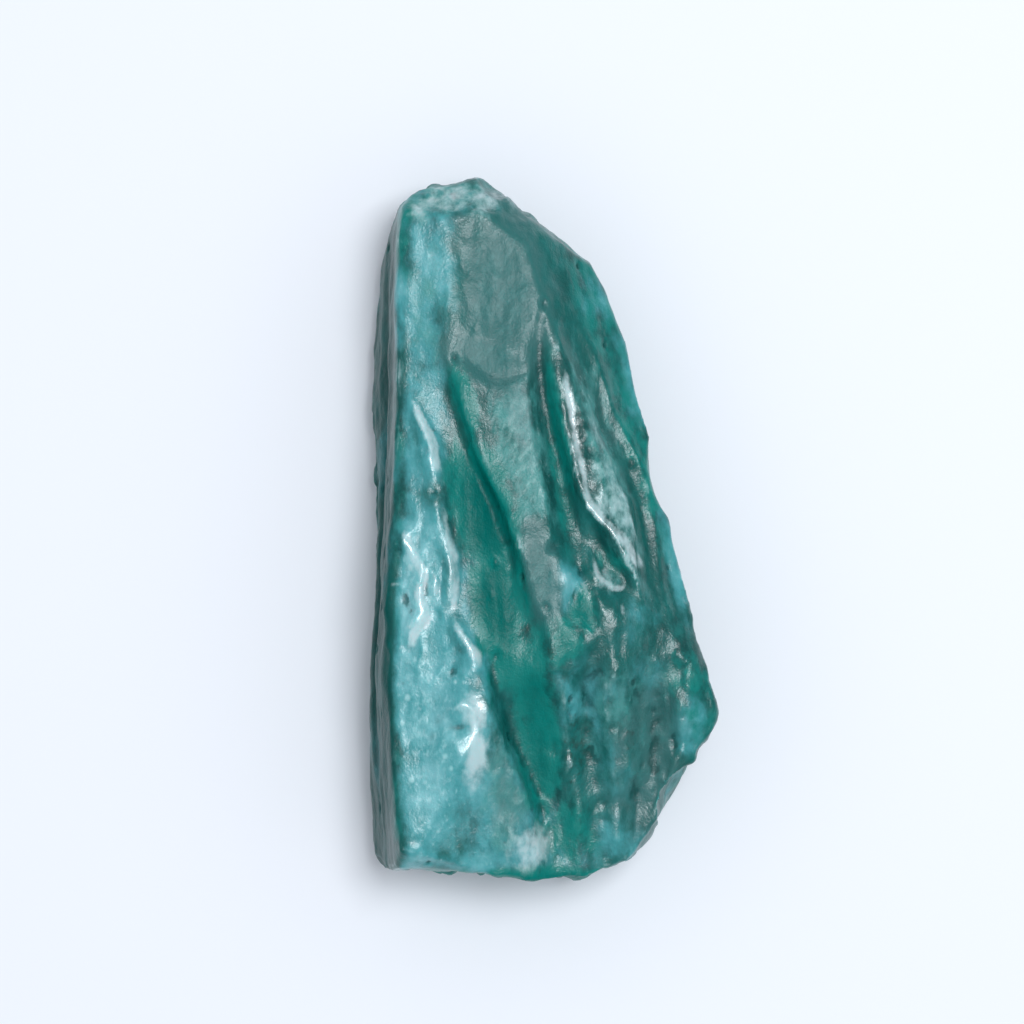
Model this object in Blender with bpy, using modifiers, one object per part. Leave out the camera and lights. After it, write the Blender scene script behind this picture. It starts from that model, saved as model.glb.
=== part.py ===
"""A rough emerald at its real size: one broken length of a beryl prism, a single solid stone.

It lies on its flat back with the fluted front up (+Z) and the narrow end towards +Y.
The stone is shaped in millimetres and turned into metres in the last step.
"""

import bmesh
import bpy
import numpy as np
from mathutils import Matrix, Vector, noise

# Driving dimensions of the finished stone, in millimetres.
LENGTH = 46.2
WIDTH = 22.8
THICKNESS = 14.2
MM = 0.001

# The size of the small faces that the stone is carved in, how often they are smoothed, how many
# triangles the finished stone keeps, and the size of the block that it is cut from.
GRAIN = 0.26
SMOOTHING = 2
TRIANGLES = 9200
BLOCK = 80.0

# The flat faces that the broken prism is cut to: a point on each face and the way it looks.
# x runs across the stone, y along it to the narrow end, z from the back to the front.
FRONT_FACES = {
    "left front": ((-6.0, -8.0, 13.2), (-0.17, 0.06, 0.985)),
    "upper front": ((-5.6, 12.0, 12.1), (0.08, 0.09, 0.99)),
    "right front": ((0.4, 15.5, 11.3), (0.61, 0.25, 0.75)),
    "lower front": ((2.0, -9.0, 13.2), (0.20, -0.13, 0.97)),
    "foot bevel": ((-4.0, -21.3, 13.9), (-0.05, -0.76, 0.65)),
    "tip bevel": ((-5.5, 22.5, 9.4), (-0.05, 0.75, 0.66)),
    "tip right bevel": ((1.0, 19.6, 9.4), (0.42, 0.55, 0.72)),
}
LEFT_FACES = {
    "left side": ((-11.7, -10.4, 3.9), (-0.977, 0.045, 0.2)),
    "lower left side": ((-11.35, -16.0, 3.9), (-0.977, -0.052, 0.2)),
    "left back": ((-11.4, -5.0, 3.7), (-0.66, -0.03, -0.75)),
    "tip left": ((-9.8, 19.6, 6.0), (-0.95, 0.275, 0.08)),
    "tip left corner": ((-8.7, 22.0, 6.5), (-0.70, 0.71, 0.10)),
}
RIGHT_FACES = {
    "right side": ((7.0, 9.4, 8.6), (0.955, 0.205, -0.20)),
    "shoulder": ((5.1, 15.1, 8.6), (0.92, 0.37, -0.12)),
    "right back": ((8.9, -1.5, 5.4), (0.70, 0.16, -0.69)),
    "tip right": ((-0.8, 21.0, 6.0), (0.57, 0.82, 0.04)),
    "foot right": ((9.75, -16.7, 9.0), (0.866, -0.50, 0.02)),
    "foot corner": ((7.1, -21.2, 7.0), (0.788, -0.616, 0.04)),
    "foot last corner": ((5.1, -22.7, 7.0), (0.426, -0.905, 0.04)),
}
BACK_FACES = {
    "back": ((0.0, 0.0, 0.30), (0.0, 0.0, -1.0)),
    "tip back": ((-5.0, 20.5, 3.2), (0.05, 0.62, -0.78)),
    "foot back": ((-2.0, -22.4, 2.6), (0.06, -0.78, -0.62)),
}
END_FACES = {
    "tip": ((-5.2, 23.1, 6.0), (-0.15, 0.98, 0.05)),
    "foot": ((-4.0, -23.15, 7.0), (-0.06, -0.998, 0.06)),
}

# Grooves etched along the crystal, seen square on to the side that carries them: the power of the
# bank on each hand, low for a gentle bank and high for a cliff, then points along the groove's
# floor as (across, along, depth, reach to the left, reach to the right).
FRONT_GROOVES = {
    "main valley, upper": (1.35, 3.0, [
        (-6.2, 11.2, 0.00, 1.4, 0.35), (-5.4, 8.3, 0.60, 2.4, 0.35), (-4.8, 6.1, 1.00, 2.5, 0.35),
        (-4.4, 4.8, 1.25, 2.6, 0.35), (-3.4, 2.8, 1.50, 3.4, 0.35), (-2.5, 0.8, 1.60, 3.9, 0.4),
        (-1.9, -1.4, 1.50, 4.0, 0.5), (-1.8, -3.6, 1.25, 3.9, 1.2), (-1.9, -6.4, 0.90, 3.4, 2.4),
        (-1.9, -9.5, 0.50, 2.4, 2.8), (-1.8, -12.5, 0.00, 1.6, 2.6)]),
    "main valley, lower": (3.0, 1.6, [
        (-3.1, -4.6, 0.00, 2.2, 1.2), (-2.9, -7.4, 0.45, 1.5, 2.6), (-2.8, -9.6, 1.10, 0.6, 3.2),
        (-2.2, -12.0, 1.60, 0.55, 3.8), (-1.0, -14.9, 1.70, 0.55, 3.6), (0.1, -17.9, 1.40, 0.6, 2.8),
        (0.8, -20.6, 0.80, 0.8, 2.2), (1.0, -22.9, 0.40, 0.8, 1.8)]),
    "second groove": (2.0, 4.0, [
        (0.1, 13.6, 0.00, 0.6, 0.4), (0.3, 10.0, 0.60, 0.8, 0.65), (0.8, 6.7, 1.00, 1.0, 0.7),
        (1.4, 3.5, 1.15, 1.0, 0.95), (1.8, 1.2, 1.10, 1.0, 1.35), (2.5, -1.8, 0.80, 1.0, 1.3),
        (3.2, -4.4, 0.45, 0.9, 0.9), (3.8, -7.7, 0.00, 0.8, 0.8)]),
    "pocket under the slab": (2.0, 5.0, [
        (2.8, 0.6, 0.30, 1.2, 0.9), (3.9, -1.3, 0.90, 1.3, 1.0), (5.1, -3.1, 0.85, 1.5, 1.0),
        (6.6, -5.2, 0.40, 1.4, 0.9), (7.6, -7.4, 0.00, 1.0, 0.8)]),
    "groove right of the slab": (2.5, 1.7, [
        (1.6, 14.4, 0.00, 0.5, 1.0), (3.1, 10.7, 0.55, 0.45, 1.1), (4.3, 7.4, 0.85, 0.45, 1.2),
        (5.7, 4.1, 0.95, 0.45, 1.2), (6.6, 1.0, 0.95, 0.45, 1.2), (7.2, -2.0, 0.85, 0.6, 1.2),
        (7.9, -5.8, 0.50, 0.9, 1.2), (8.9, -9.6, 0.00, 1.0, 1.2)]),
    "flank flute": (1.6, 1.6, [
        (3.4, 16.4, 0.00, 0.8, 0.8), (4.9, 12.0, 0.30, 0.9, 0.8), (6.2, 8.1, 0.34, 0.9, 0.8),
        (7.3, 4.1, 0.34, 0.9, 0.8), (8.2, 0.2, 0.30, 0.9, 0.8), (9.1, -3.8, 0.30, 0.9, 0.8),
        (10.1, -8.4, 0.00, 0.8, 0.8)]),
    "step below the upper face": (2.5, 1.5, [
        (-5.7, 12.6, 0.00, 0.6, 1.2), (-4.6, 11.4, 0.12, 0.6, 1.6), (-3.4, 10.3, 0.26, 0.6, 1.8),
        (-2.3, 9.8, 0.26, 0.6, 1.6), (-1.1, 10.2, 0.20, 0.6, 1.2), (-0.2, 11.4, 0.00, 0.6, 0.8)]),
    "lower knobs, left": (1.5, 2.2, [
        (3.6, -6.2, 0.00, 1.0, 1.0), (3.7, -9.4, 0.55, 1.3, 1.1), (3.3, -12.6, 0.75, 1.4, 1.2),
        (3.6, -15.8, 0.60, 1.5, 1.3), (4.2, -19.0, 0.35, 1.2, 1.2), (4.4, -22.4, 0.10, 1.0, 1.0)]),
    "lower knobs, right": (2.4, 1.5, [
        (8.2, -8.0, 0.00, 1.0, 1.0), (7.6, -11.0, 0.60, 1.4, 1.5), (7.9, -14.0, 0.80, 1.3, 1.6),
        (7.2, -17.0, 0.60, 1.2, 1.4), (6.3, -19.8, 0.30, 1.0, 1.2)]),
}
BACK_GROOVES = {
    "long back flute": (2.0, 3.0, [
        (-7.6, 17.5, 0.00, 0.8, 0.9), (-7.9, 10.0, 0.75, 1.3, 0.9), (-8.4, 2.0, 0.95, 1.5, 1.0),
        (-8.6, -6.0, 0.80, 1.4, 1.0), (-8.8, -14.0, 0.00, 1.0, 0.8)]),
    "right back flute": (3.0, 2.0, [
        (0.6, 16.0, 0.00, 0.8, 1.0), (2.8, 9.0, 0.80, 0.9, 1.5), (4.8, 1.0, 1.10, 1.0, 1.8),
        (6.6, -7.0, 1.00, 1.0, 1.7), (8.0, -13.0, 0.00, 0.9, 1.2)]),
    "outer back flute": (2.0, 2.0, [
        (4.2, 10.0, 0.00, 0.7, 0.7), (6.0, 3.5, 0.45, 0.9, 0.9), (7.9, -3.5, 0.50, 1.0, 0.9),
        (9.3, -9.5, 0.00, 0.8, 0.8)]),
}
LEFT_GROOVES = {
    "left side flute": (2.0, 2.0, [
        (6.6, 17.0, 0.00, 0.9, 0.9), (7.0, 9.0, 0.45, 1.3, 1.2), (7.6, 0.0, 0.60, 1.5, 1.3),
        (8.0, -9.0, 0.45, 1.4, 1.2), (8.2, -17.0, 0.00, 1.0, 1.0)]),
    "lower left flute": (3.0, 1.6, [
        (3.4, 9.0, 0.00, 0.8, 0.8), (3.9, 1.0, 0.40, 1.0, 1.3), (4.6, -8.0, 0.50, 1.0, 1.4),
        (5.0, -15.0, 0.00, 0.8, 1.0)]),
}
RIGHT_GROOVES = {
    "right side flute": (2.0, 2.0, [
        (6.0, 13.0, 0.00, 0.8, 0.8), (6.2, 6.0, 0.45, 1.1, 1.1), (6.6, -1.0, 0.55, 1.2, 1.2),
        (7.2, -9.0, 0.00, 1.0, 1.0)]),
}

# Narrow raised edges that stand along the crests: half width, then points as (across, along, height).
FRONT_CRESTS = {
    "left crest, top": (0.5, [
        (-8.7, 9.0, 0.10), (-7.8, 7.3, 0.34), (-7.0, 5.6, 0.36), (-6.8, 4.2, 0.24), (-6.6, 3.2, 0.00)]),
    "left crest, middle": (0.5, [
        (-6.6, 2.4, 0.00), (-6.4, 1.2, 0.16), (-6.1, 0.0, 0.20), (-5.8, -1.6, 0.28),
        (-5.6, -3.2, 0.28), (-5.6, -4.8, 0.22), (-5.6, -5.3, 0.00)]),
    "left crest, lower": (0.45, [
        (-5.7, -5.6, 0.10), (-5.0, -7.1, 0.26), (-4.3, -8.2, 0.28), (-4.0, -9.4, 0.06)]),
    "wrinkle on the left face": (0.55, [
        (-9.2, 0.4, 0.00), (-8.8, -0.4, 0.30), (-8.3, -1.6, 0.36), (-7.7, -2.7, 0.38),
        (-8.0, -4.0, 0.30), (-7.5, -5.5, 0.36), (-8.2, -6.6, 0.30), (-8.6, -7.8, 0.00)]),
    "short wrinkle": (0.4, [
        (-7.2, -1.8, 0.00), (-6.9, -3.4, 0.26), (-7.0, -5.0, 0.00)]),
    "slab rim": (0.42, [
        (1.3, 10.9, 0.10), (1.6, 9.6, 0.22), (1.8, 7.6, 0.26), (2.1, 5.6, 0.24), (2.6, 3.6, 0.26),
        (2.9, 2.2, 0.28), (3.6, 1.1, 0.34), (4.6, 0.0, 0.36), (5.4, -0.9, 0.36), (6.1, -2.1, 0.30),
        (6.5, -2.9, 0.00)]),
    "ledge rim": (0.34, [
        (3.2, -1.4, 0.10), (3.5, -2.6, 0.28), (4.3, -3.3, 0.28), (5.1, -3.7, 0.30), (5.6, -3.2, 0.05)]),
    "hollow rim": (0.32, [
        (1.8, -2.8, 0.00), (2.6, -3.6, 0.18), (3.2, -4.6, 0.16), (3.5, -5.4, 0.00)]),
    "edge below the ledge": (0.3, [
        (5.0, -4.2, 0.00), (5.1, -5.0, 0.22), (5.0, -6.0, 0.00)]),
}

# Low lumps, and hollows where the height is below 0: (x, y, half width, half length, height).
FRONT_LUMPS = {
    "upper blister": (-5.1, -11.6, 1.40, 1.8, 0.40),
    "lower blister": (-5.3, -14.8, 2.00, 2.6, 0.42),
    "heel blister": (-1.6, -20.2, 1.70, 1.7, 0.40),
    "tip dish": (-2.5, 16.2, 2.90, 5.6, -0.38),
    "window hollow": (2.3, -5.1, 0.80, 1.5, -0.42),
    "lower right facet": (4.9, -10.2, 2.00, 2.8, 0.35),
    "heel facet": (5.2, -20.0, 1.60, 1.9, 0.40),
    "knuckle": (9.8, -11.8, 1.50, 2.4, 0.45),
    "pit on the ridge": (1.2, -1.3, 0.50, 0.50, -0.50),
    "dimple in the slab": (3.5, 5.0, 0.42, 0.58, -0.34),
    "pit on the crest": (-6.7, 6.3, 0.30, 0.34, -0.34),
    "pit on the left face": (-8.9, -10.3, 0.30, 0.30, -0.30),
    "pit between blisters": (-5.1, -13.0, 0.65, 0.45, -0.36),
    "pit in the wrinkle": (-8.5, -4.6, 0.48, 0.62, -0.26),
    "low pit": (-8.0, -20.4, 0.35, 0.30, -0.30),
}
BACK_LUMPS = {
    "resting flat": (-1.3, -3.5, 5.6, 13.5, 1.30),
    "back hollow": (-3.0, 14.5, 3.0, 3.5, -0.90),
    "heel hollow": (3.5, -19.5, 4.0, 3.0, -0.90),
}

# Shell-shaped chips out of the edges: the centre and the half sizes of the bowl that each follows.
CHIPS = (
    ((11.0, -18.5, 9.0), (3.0, 3.0, 5.5)),
    ((10.9, 4.6, 8.6), (3.4, 5.0, 4.6)),
    ((1.6, 22.4, 9.4), (2.6, 2.4, 3.0)),
    ((-2.2, 23.7, 9.8), (2.0, 1.9, 2.6)),
    ((-12.6, 15.0, 10.0), (2.4, 3.2, 3.4)),
    ((6.8, 20.6, 3.0), (4.4, 4.4, 3.4)),
    ((-12.6, -24.0, 6.0), (2.9, 2.6, 3.6)),
    ((-2.5, -26.2, 1.4), (5.2, 4.2, 3.0)),
    ((-8.6, 25.4, 2.4), (4.2, 3.8, 3.0)),
    ((13.4, -8.0, 2.2), (3.6, 6.0, 3.0)),
    ((-13.4, -12.6, 1.0), (3.2, 5.0, 2.8)),
    ((-13.0, 8.0, 0.8), (3.2, 6.5, 2.8)),
)

# Where the stone broke roughly instead of growing: centre, half sizes and share of the scallops.
BROKEN_ZONES = (
    ((5.6, -13.5, 12.5), (6.2, 9.5, 6.0), 0.45),
    ((10.0, -14.0, 9.0), (3.6, 8.5, 7.0), 0.7),
    ((2.5, -6.5, 13.5), (2.6, 4.0, 3.0), 0.35),
    ((0.0, -23.5, 4.0), (13.0, 4.5, 9.0), 0.8),
    ((-2.0, 22.5, 6.0), (9.0, 3.6, 7.0), 0.6),
    ((5.5, -4.0, 1.0), (7.0, 17.0, 3.0), 0.9),
    ((-10.0, -2.0, 2.0), (4.0, 16.0, 3.5), 0.6),
)

# Unevenness of the whole surface: wavelengths across, along and through the stone, then height.
SWELL = ((5.0, 9.0, 5.0), 0.34)
FLUTING = ((1.5, 11.0, 1.5), 0.22)
LUMPING = ((1.6, 2.4, 1.6), 0.13)
SCALLOPS = ((2.3, 3.1, 2.3), 0.55)
WANDER = ((2.2, 3.4, 2.2), 0.22)
EDGE_BLEND = 0.6


def unit(vector):
    """The vector at a length of 1, as an array."""
    return np.array(Vector(vector).normalized())


def noise_over(points, wavelengths, seed):
    """Smooth noise from about -1 to 1 at each point, with its own wavelength along each axis."""
    places = points / np.array(wavelengths) + np.array((17.3, 5.9, 31.1)) * seed
    return np.array([noise.noise(place) for place in places.tolist()])


def scallops_over(points, wavelengths, seed):
    """Shallow bowls with sharp rims between them: 0 in the middle of each bowl, near 1 at its rim."""
    places = points / np.array(wavelengths) + np.array((3.7, 11.9, 7.1)) * seed
    nearest = np.array([noise.voronoi(place)[0][0] for place in places.tolist()])
    return np.minimum(nearest, 1.0) ** 2


def smooth_path(rows, steps=5):
    """The rows with more between them, on a curve that passes through each one (Catmull-Rom)."""
    rows = np.array(rows, float)
    ends = np.vstack([2 * rows[0] - rows[1], rows, 2 * rows[-1] - rows[-2]])
    share = np.linspace(0, 1, steps, endpoint=False)[:, None]
    spans = []
    for before, start, stop, after in zip(ends, ends[1:], ends[2:], ends[3:]):
        turn = 2 * before - 5 * start + 4 * stop - after
        bend = 3 * start - before - 3 * stop + after
        spans.append(start + share * (stop - before) / 2 + share**2 * turn / 2 + share**3 * bend / 2)
    return np.vstack([*spans, rows[-1:]])


def nearest_on_path(across, along, rows):
    """For each point, the row at the nearest place on the path, and the distance to it.

    The distance counts above 0 on the left of a path that runs down the stone.
    """
    places = np.stack([across, along], axis=1)
    offset = np.full(len(places), np.inf)
    nearest = np.zeros((len(places), rows.shape[1]))
    for start, stop in zip(rows, rows[1:]):
        run = (stop - start)[:2]
        share = np.clip((places - start[:2]) @ run / (run @ run), 0, 1)[:, None]
        away = places - start[:2] - share * run
        side = np.where(run[1] * away[:, 0] - run[0] * away[:, 1] < 0, -1, 1)
        distance = np.hypot(away[:, 0], away[:, 1])
        nearer = distance < np.abs(offset)
        offset = np.where(nearer, distance * side, offset)
        nearest = np.where(nearer[:, None], start + share * (stop - start), nearest)
    return nearest, offset


def groove_depth(across, along, left_power, right_power, rows):
    """How deep one groove cuts at each point."""
    nearest, offset = nearest_on_path(across, along, smooth_path(rows))
    on_left = offset > 0
    reach = np.where(on_left, nearest[:, 3], nearest[:, 4])
    power = np.where(on_left, left_power, right_power)
    bank = np.clip(np.abs(offset) / reach, 0, 1) ** power
    return np.maximum(nearest[:, 2], 0) * (1 - bank)


def crest_height(across, along, half_width, rows):
    """How high one narrow crest stands at each point."""
    nearest, offset = nearest_on_path(across, along, smooth_path(rows))
    share = np.clip(1 - (offset / half_width) ** 2, 0, 1)
    return np.maximum(nearest[:, 2], 0) * share**1.5


def lump_height(across, along, x, y, half_width, half_length, height):
    """How high one lump stands at each point, or how deep one hollow goes as a height below 0."""
    away = ((across - x) / half_width) ** 2 + ((along - y) / half_length) ** 2
    return height * np.clip(1 - away, 0, 1) ** 1.5


def relief(across, along, grooves, crests, lumps):
    """The height of one side's grooves, crests and lumps over its plain faces."""
    depths = [groove_depth(across, along, *groove) for groove in grooves.values()]
    height = -np.cbrt(np.sum(np.power(depths, 3), axis=0))
    for crest in crests.values():
        height = height + crest_height(across, along, *crest)
    for lump in lumps.values():
        height = height + lump_height(across, along, *lump)
    return height


def closeness(points, faces):
    """How near each point is to a side's faces: 1 on them and 0 from the blend's depth below them."""
    below = np.full(len(points), -np.inf)
    for place, facing in faces.values():
        below = np.maximum(below, (points - np.array(place)) @ unit(facing))
    return np.clip(1 + below / EDGE_BLEND, 0, 1)


def side_reliefs(points):
    """The move of each point for the relief of the four long sides, each along its own axis."""
    x, y, z = points.T
    wander = noise_over(points, WANDER[0], 1) * WANDER[1]
    slip = noise_over(points, WANDER[0], 2) * WANDER[1]
    front = relief(x + wander, y + slip, FRONT_GROOVES, FRONT_CRESTS, FRONT_LUMPS)
    back = relief(x + wander, y + slip, BACK_GROOVES, {}, BACK_LUMPS)
    left = relief(z + wander, y + slip, LEFT_GROOVES, {}, {})
    right = relief(z + wander, y + slip, RIGHT_GROOVES, {}, {})
    front_move = front * closeness(points, FRONT_FACES)
    back_move = back * closeness(points, BACK_FACES)
    left_move = left * closeness(points, LEFT_FACES)
    right_move = right * closeness(points, RIGHT_FACES)
    return np.stack([right_move - left_move, np.zeros(len(points)), front_move - back_move], axis=1)


def unevenness(points):
    """The height of the swell, the fine fluting, the lumps and the broken scallops at each point."""
    height = noise_over(points, SWELL[0], 3) * SWELL[1]
    height = height + noise_over(points, FLUTING[0], 4) * FLUTING[1]
    height = height + noise_over(points, LUMPING[0], 5) * LUMPING[1]
    broken = np.zeros(len(points))
    for centre, half_sizes, share in BROKEN_ZONES:
        away = (((points - np.array(centre)) / np.array(half_sizes)) ** 2).sum(axis=1)
        broken = np.maximum(broken, share * np.clip(2 - 2 * away, 0, 1))
    return height + broken * (scallops_over(points, SCALLOPS[0], 6) - 0.4) * SCALLOPS[1]


def chipped(points):
    """The points with those inside each chip's bowl moved straight out to the bowl's wall."""
    for centre, half_sizes in CHIPS:
        inside = (points - np.array(centre)) / np.array(half_sizes)
        distance = np.linalg.norm(inside, axis=1)[:, None]
        wall = np.array(centre) + inside / np.maximum(distance, 0.05) * np.array(half_sizes)
        points = np.where(distance < 1, wall, points)
    return points


def close_cut(shape, place, facing):
    """Cuts a closed shape along a plane, drops what lies beyond it and closes the cut with a face."""
    everything = shape.verts[:] + shape.edges[:] + shape.faces[:]
    cut = bmesh.ops.bisect_plane(
        shape, geom=everything, dist=1e-5, plane_co=place, plane_no=facing, clear_outer=True
    )
    rim = [item for item in cut["geom_cut"] if isinstance(item, bmesh.types.BMEdge)]
    bmesh.ops.edgenet_fill(shape, edges=rim)


def new_stone(name):
    """A cube cut back to every flat face of the prism, as an object in its own collection."""
    shape = bmesh.new()
    bmesh.ops.create_cube(shape, size=BLOCK)
    for faces in (FRONT_FACES, LEFT_FACES, RIGHT_FACES, BACK_FACES, END_FACES):
        for place, facing in faces.values():
            close_cut(shape, place, facing)
    bmesh.ops.recalc_face_normals(shape, faces=shape.faces)
    mesh = bpy.data.meshes.new(name)
    shape.to_mesh(mesh)
    shape.free()
    stone = bpy.data.objects.new(name, mesh)
    collection = bpy.data.collections.new("emerald")
    bpy.context.scene.collection.children.link(collection)
    collection.objects.link(stone)
    return stone


def settle(stone):
    """Makes the object's modifiers part of its mesh."""
    bpy.context.view_layer.update()
    graph = bpy.context.evaluated_depsgraph_get()
    shaped = bpy.data.meshes.new_from_object(stone.evaluated_get(graph))
    stone.modifiers.clear()
    stone.data = shaped


def divide_evenly(stone):
    """Covers the stone with even small faces, fine enough to be carved."""
    remesh = stone.modifiers.new("even faces", "REMESH")
    remesh.mode = "VOXEL"
    remesh.voxel_size = GRAIN
    settle(stone)


def thin_out(stone):
    """Keeps the triangles that the shape needs, up to the number allowed."""
    stone.data.calc_loop_triangles()
    decimate = stone.modifiers.new("fewer faces", "DECIMATE")
    decimate.ratio = TRIANGLES / len(stone.data.loop_triangles)
    decimate.use_collapse_triangulate = True
    settle(stone)


def carve(stone):
    """Carves the relief, the unevenness and the chips into the evenly divided stone."""
    count = len(stone.data.vertices)
    points = np.empty(count * 3)
    normals = np.empty(count * 3)
    stone.data.vertices.foreach_get("co", points)
    stone.data.vertex_normals.foreach_get("vector", normals)
    points = points.reshape(count, 3)
    carved = points + side_reliefs(points) + normals.reshape(count, 3) * unevenness(points)[:, None]
    stone.data.vertices.foreach_set("co", chipped(carved).ravel())
    shape = bmesh.new()
    shape.from_mesh(stone.data)
    for _ in range(SMOOTHING):
        bmesh.ops.smooth_vert(
            shape, verts=shape.verts, factor=0.5, use_axis_x=True, use_axis_y=True, use_axis_z=True
        )
    shape.to_mesh(stone.data)
    shape.free()


def lay_flat(stone):
    """Takes the back down to one plane for the stone to lie on, then sizes and centres it."""
    shape = bmesh.new()
    shape.from_mesh(stone.data)
    close_cut(shape, (0.0, 0.0, 0.0), (0.0, 0.0, -1.0))
    bmesh.ops.recalc_face_normals(shape, faces=shape.faces)
    points = np.array([vert.co for vert in shape.verts])
    low, high = points.min(axis=0), points.max(axis=0)
    middle = Vector(((low[0] + high[0]) / 2, (low[1] + high[1]) / 2, low[2]))
    growth = Vector((WIDTH, LENGTH, THICKNESS) / (high - low)) * MM
    bmesh.ops.translate(shape, verts=shape.verts, vec=-middle)
    bmesh.ops.transform(shape, verts=shape.verts, matrix=Matrix.Diagonal(growth).to_4x4())
    shape.to_mesh(stone.data)
    shape.free()


def emerald_material():
    """Bluish-green beryl with a glassy, slightly wet skin."""
    material = bpy.data.materials.new("emerald")
    material.use_nodes = True
    material.diffuse_color = (0.05, 0.26, 0.23, 1.0)
    skin = material.node_tree.nodes["Principled BSDF"]
    skin.inputs["Base Color"].default_value = (0.05, 0.26, 0.23, 1.0)
    skin.inputs["Roughness"].default_value = 0.3
    skin.inputs["Metallic"].default_value = 0.0
    skin.inputs["IOR"].default_value = 1.58
    return material


def main():
    """Builds the stone."""
    for item in list(bpy.data.objects):
        bpy.data.objects.remove(item)
    stone = new_stone("rough_emerald")
    divide_evenly(stone)
    carve(stone)
    thin_out(stone)
    lay_flat(stone)
    stone.data.materials.append(emerald_material())


main()
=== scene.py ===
"""A rough emerald: the carved stone with its beryl skin, lying on a pale studio floor.

The stone is one piece that replaces the plain solid of the same shape. It is shaped in millimetres,
x across it, y along it to its narrow end and z from its flat back to its grooved front.
"""

from __future__ import annotations

import logging
import math
from collections.abc import Callable
from dataclasses import dataclass, field
from enum import Enum
from typing import Any

import bmesh
import bpy
import numpy as np
from mathutils import Matrix, Vector, noise


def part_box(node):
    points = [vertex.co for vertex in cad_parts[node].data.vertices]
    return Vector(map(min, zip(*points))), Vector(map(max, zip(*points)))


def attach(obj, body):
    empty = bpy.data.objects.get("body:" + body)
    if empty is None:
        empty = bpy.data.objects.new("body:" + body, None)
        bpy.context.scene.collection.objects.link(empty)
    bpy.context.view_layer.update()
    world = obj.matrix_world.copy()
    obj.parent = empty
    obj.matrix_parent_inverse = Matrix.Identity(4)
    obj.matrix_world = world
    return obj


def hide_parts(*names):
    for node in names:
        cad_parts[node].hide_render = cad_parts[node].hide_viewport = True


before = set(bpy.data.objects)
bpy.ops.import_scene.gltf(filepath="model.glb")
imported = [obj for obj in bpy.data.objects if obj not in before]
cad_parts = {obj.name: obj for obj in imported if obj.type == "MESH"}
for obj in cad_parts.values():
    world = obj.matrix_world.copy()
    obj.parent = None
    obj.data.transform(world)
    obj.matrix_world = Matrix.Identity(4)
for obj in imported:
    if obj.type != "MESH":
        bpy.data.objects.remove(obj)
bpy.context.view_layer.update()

log = logging.getLogger("emerald")

MM = 0.001
Pair = tuple[float, float]
Triple = tuple[float, float, float]
Tree = bpy.types.NodeTree
Socket = bpy.types.NodeSocket

# How far one seed's part of the noise lies from the next one's, and the same for the cells.
NOISE_STEP = (17.3, 5.9, 31.1)
CELL_STEP = (3.7, 11.9, 7.1)

# How near a point counts as on a cutting plane, in the shape's own units.
CUT_TOLERANCE = 1e-5


def srgb(code: str) -> tuple[float, float, float, float]:
    """Turns an sRGB hex colour into a linear one.

    Args:
        code: six hex digits, red first.

    Returns:
        The linear red, green and blue, and an alpha of 1.
    """
    shares = [int(code[i : i + 2], 16) / 255 for i in (0, 2, 4)]
    linear = [s / 12.92 if s <= 0.04045 else ((s + 0.055) / 1.055) ** 2.4 for s in shares]
    return (linear[0], linear[1], linear[2], 1.0)


def fade(value: np.ndarray, start: float, stop: float) -> np.ndarray:
    """Rises smoothly from 0 at start to 1 at stop."""
    share = np.clip((value - start) / (stop - start), 0, 1)
    return share * share * (3 - 2 * share)


class Side(Enum):
    """The sides of the prism, each with the two axes that its relief is laid out on, and its move."""

    FRONT = (0, 1, (0.0, 0.0, 1.0))
    LEFT = (2, 1, (-1.0, 0.0, 0.0))
    RIGHT = (2, 1, (1.0, 0.0, 0.0))
    BACK = (0, 1, (0.0, 0.0, -1.0))
    ENDS = (0, 2, (0.0, 0.0, 0.0))


class Skin(Enum):
    """The states of the stone's skin that its finish tells apart, each kept as a point attribute."""

    CLEAR = "clear"
    HAZE = "haze"
    FROST = "frost"
    EARTH = "earth"
    # Worn: rubbed smooth and oiled, and also a painted glint, pale on the crests and blisters.
    WORN = "worn"
    SATIN = "satin"
    # Painted shade: darkens the recesses and the left side, where shade falls, and dulls their gloss.
    HOLLOW = "hollow"


@dataclass(frozen=True)
class Face:
    """A flat face that the prism is cut to."""

    side: Side
    place: Triple
    facing: Triple

    def over(self, points: np.ndarray) -> np.ndarray:
        """How far each point stands over the face, in millimetres, and below 0 inside the stone."""
        return (points - np.array(self.place)) @ np.array(Vector(self.facing).normalized())


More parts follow.
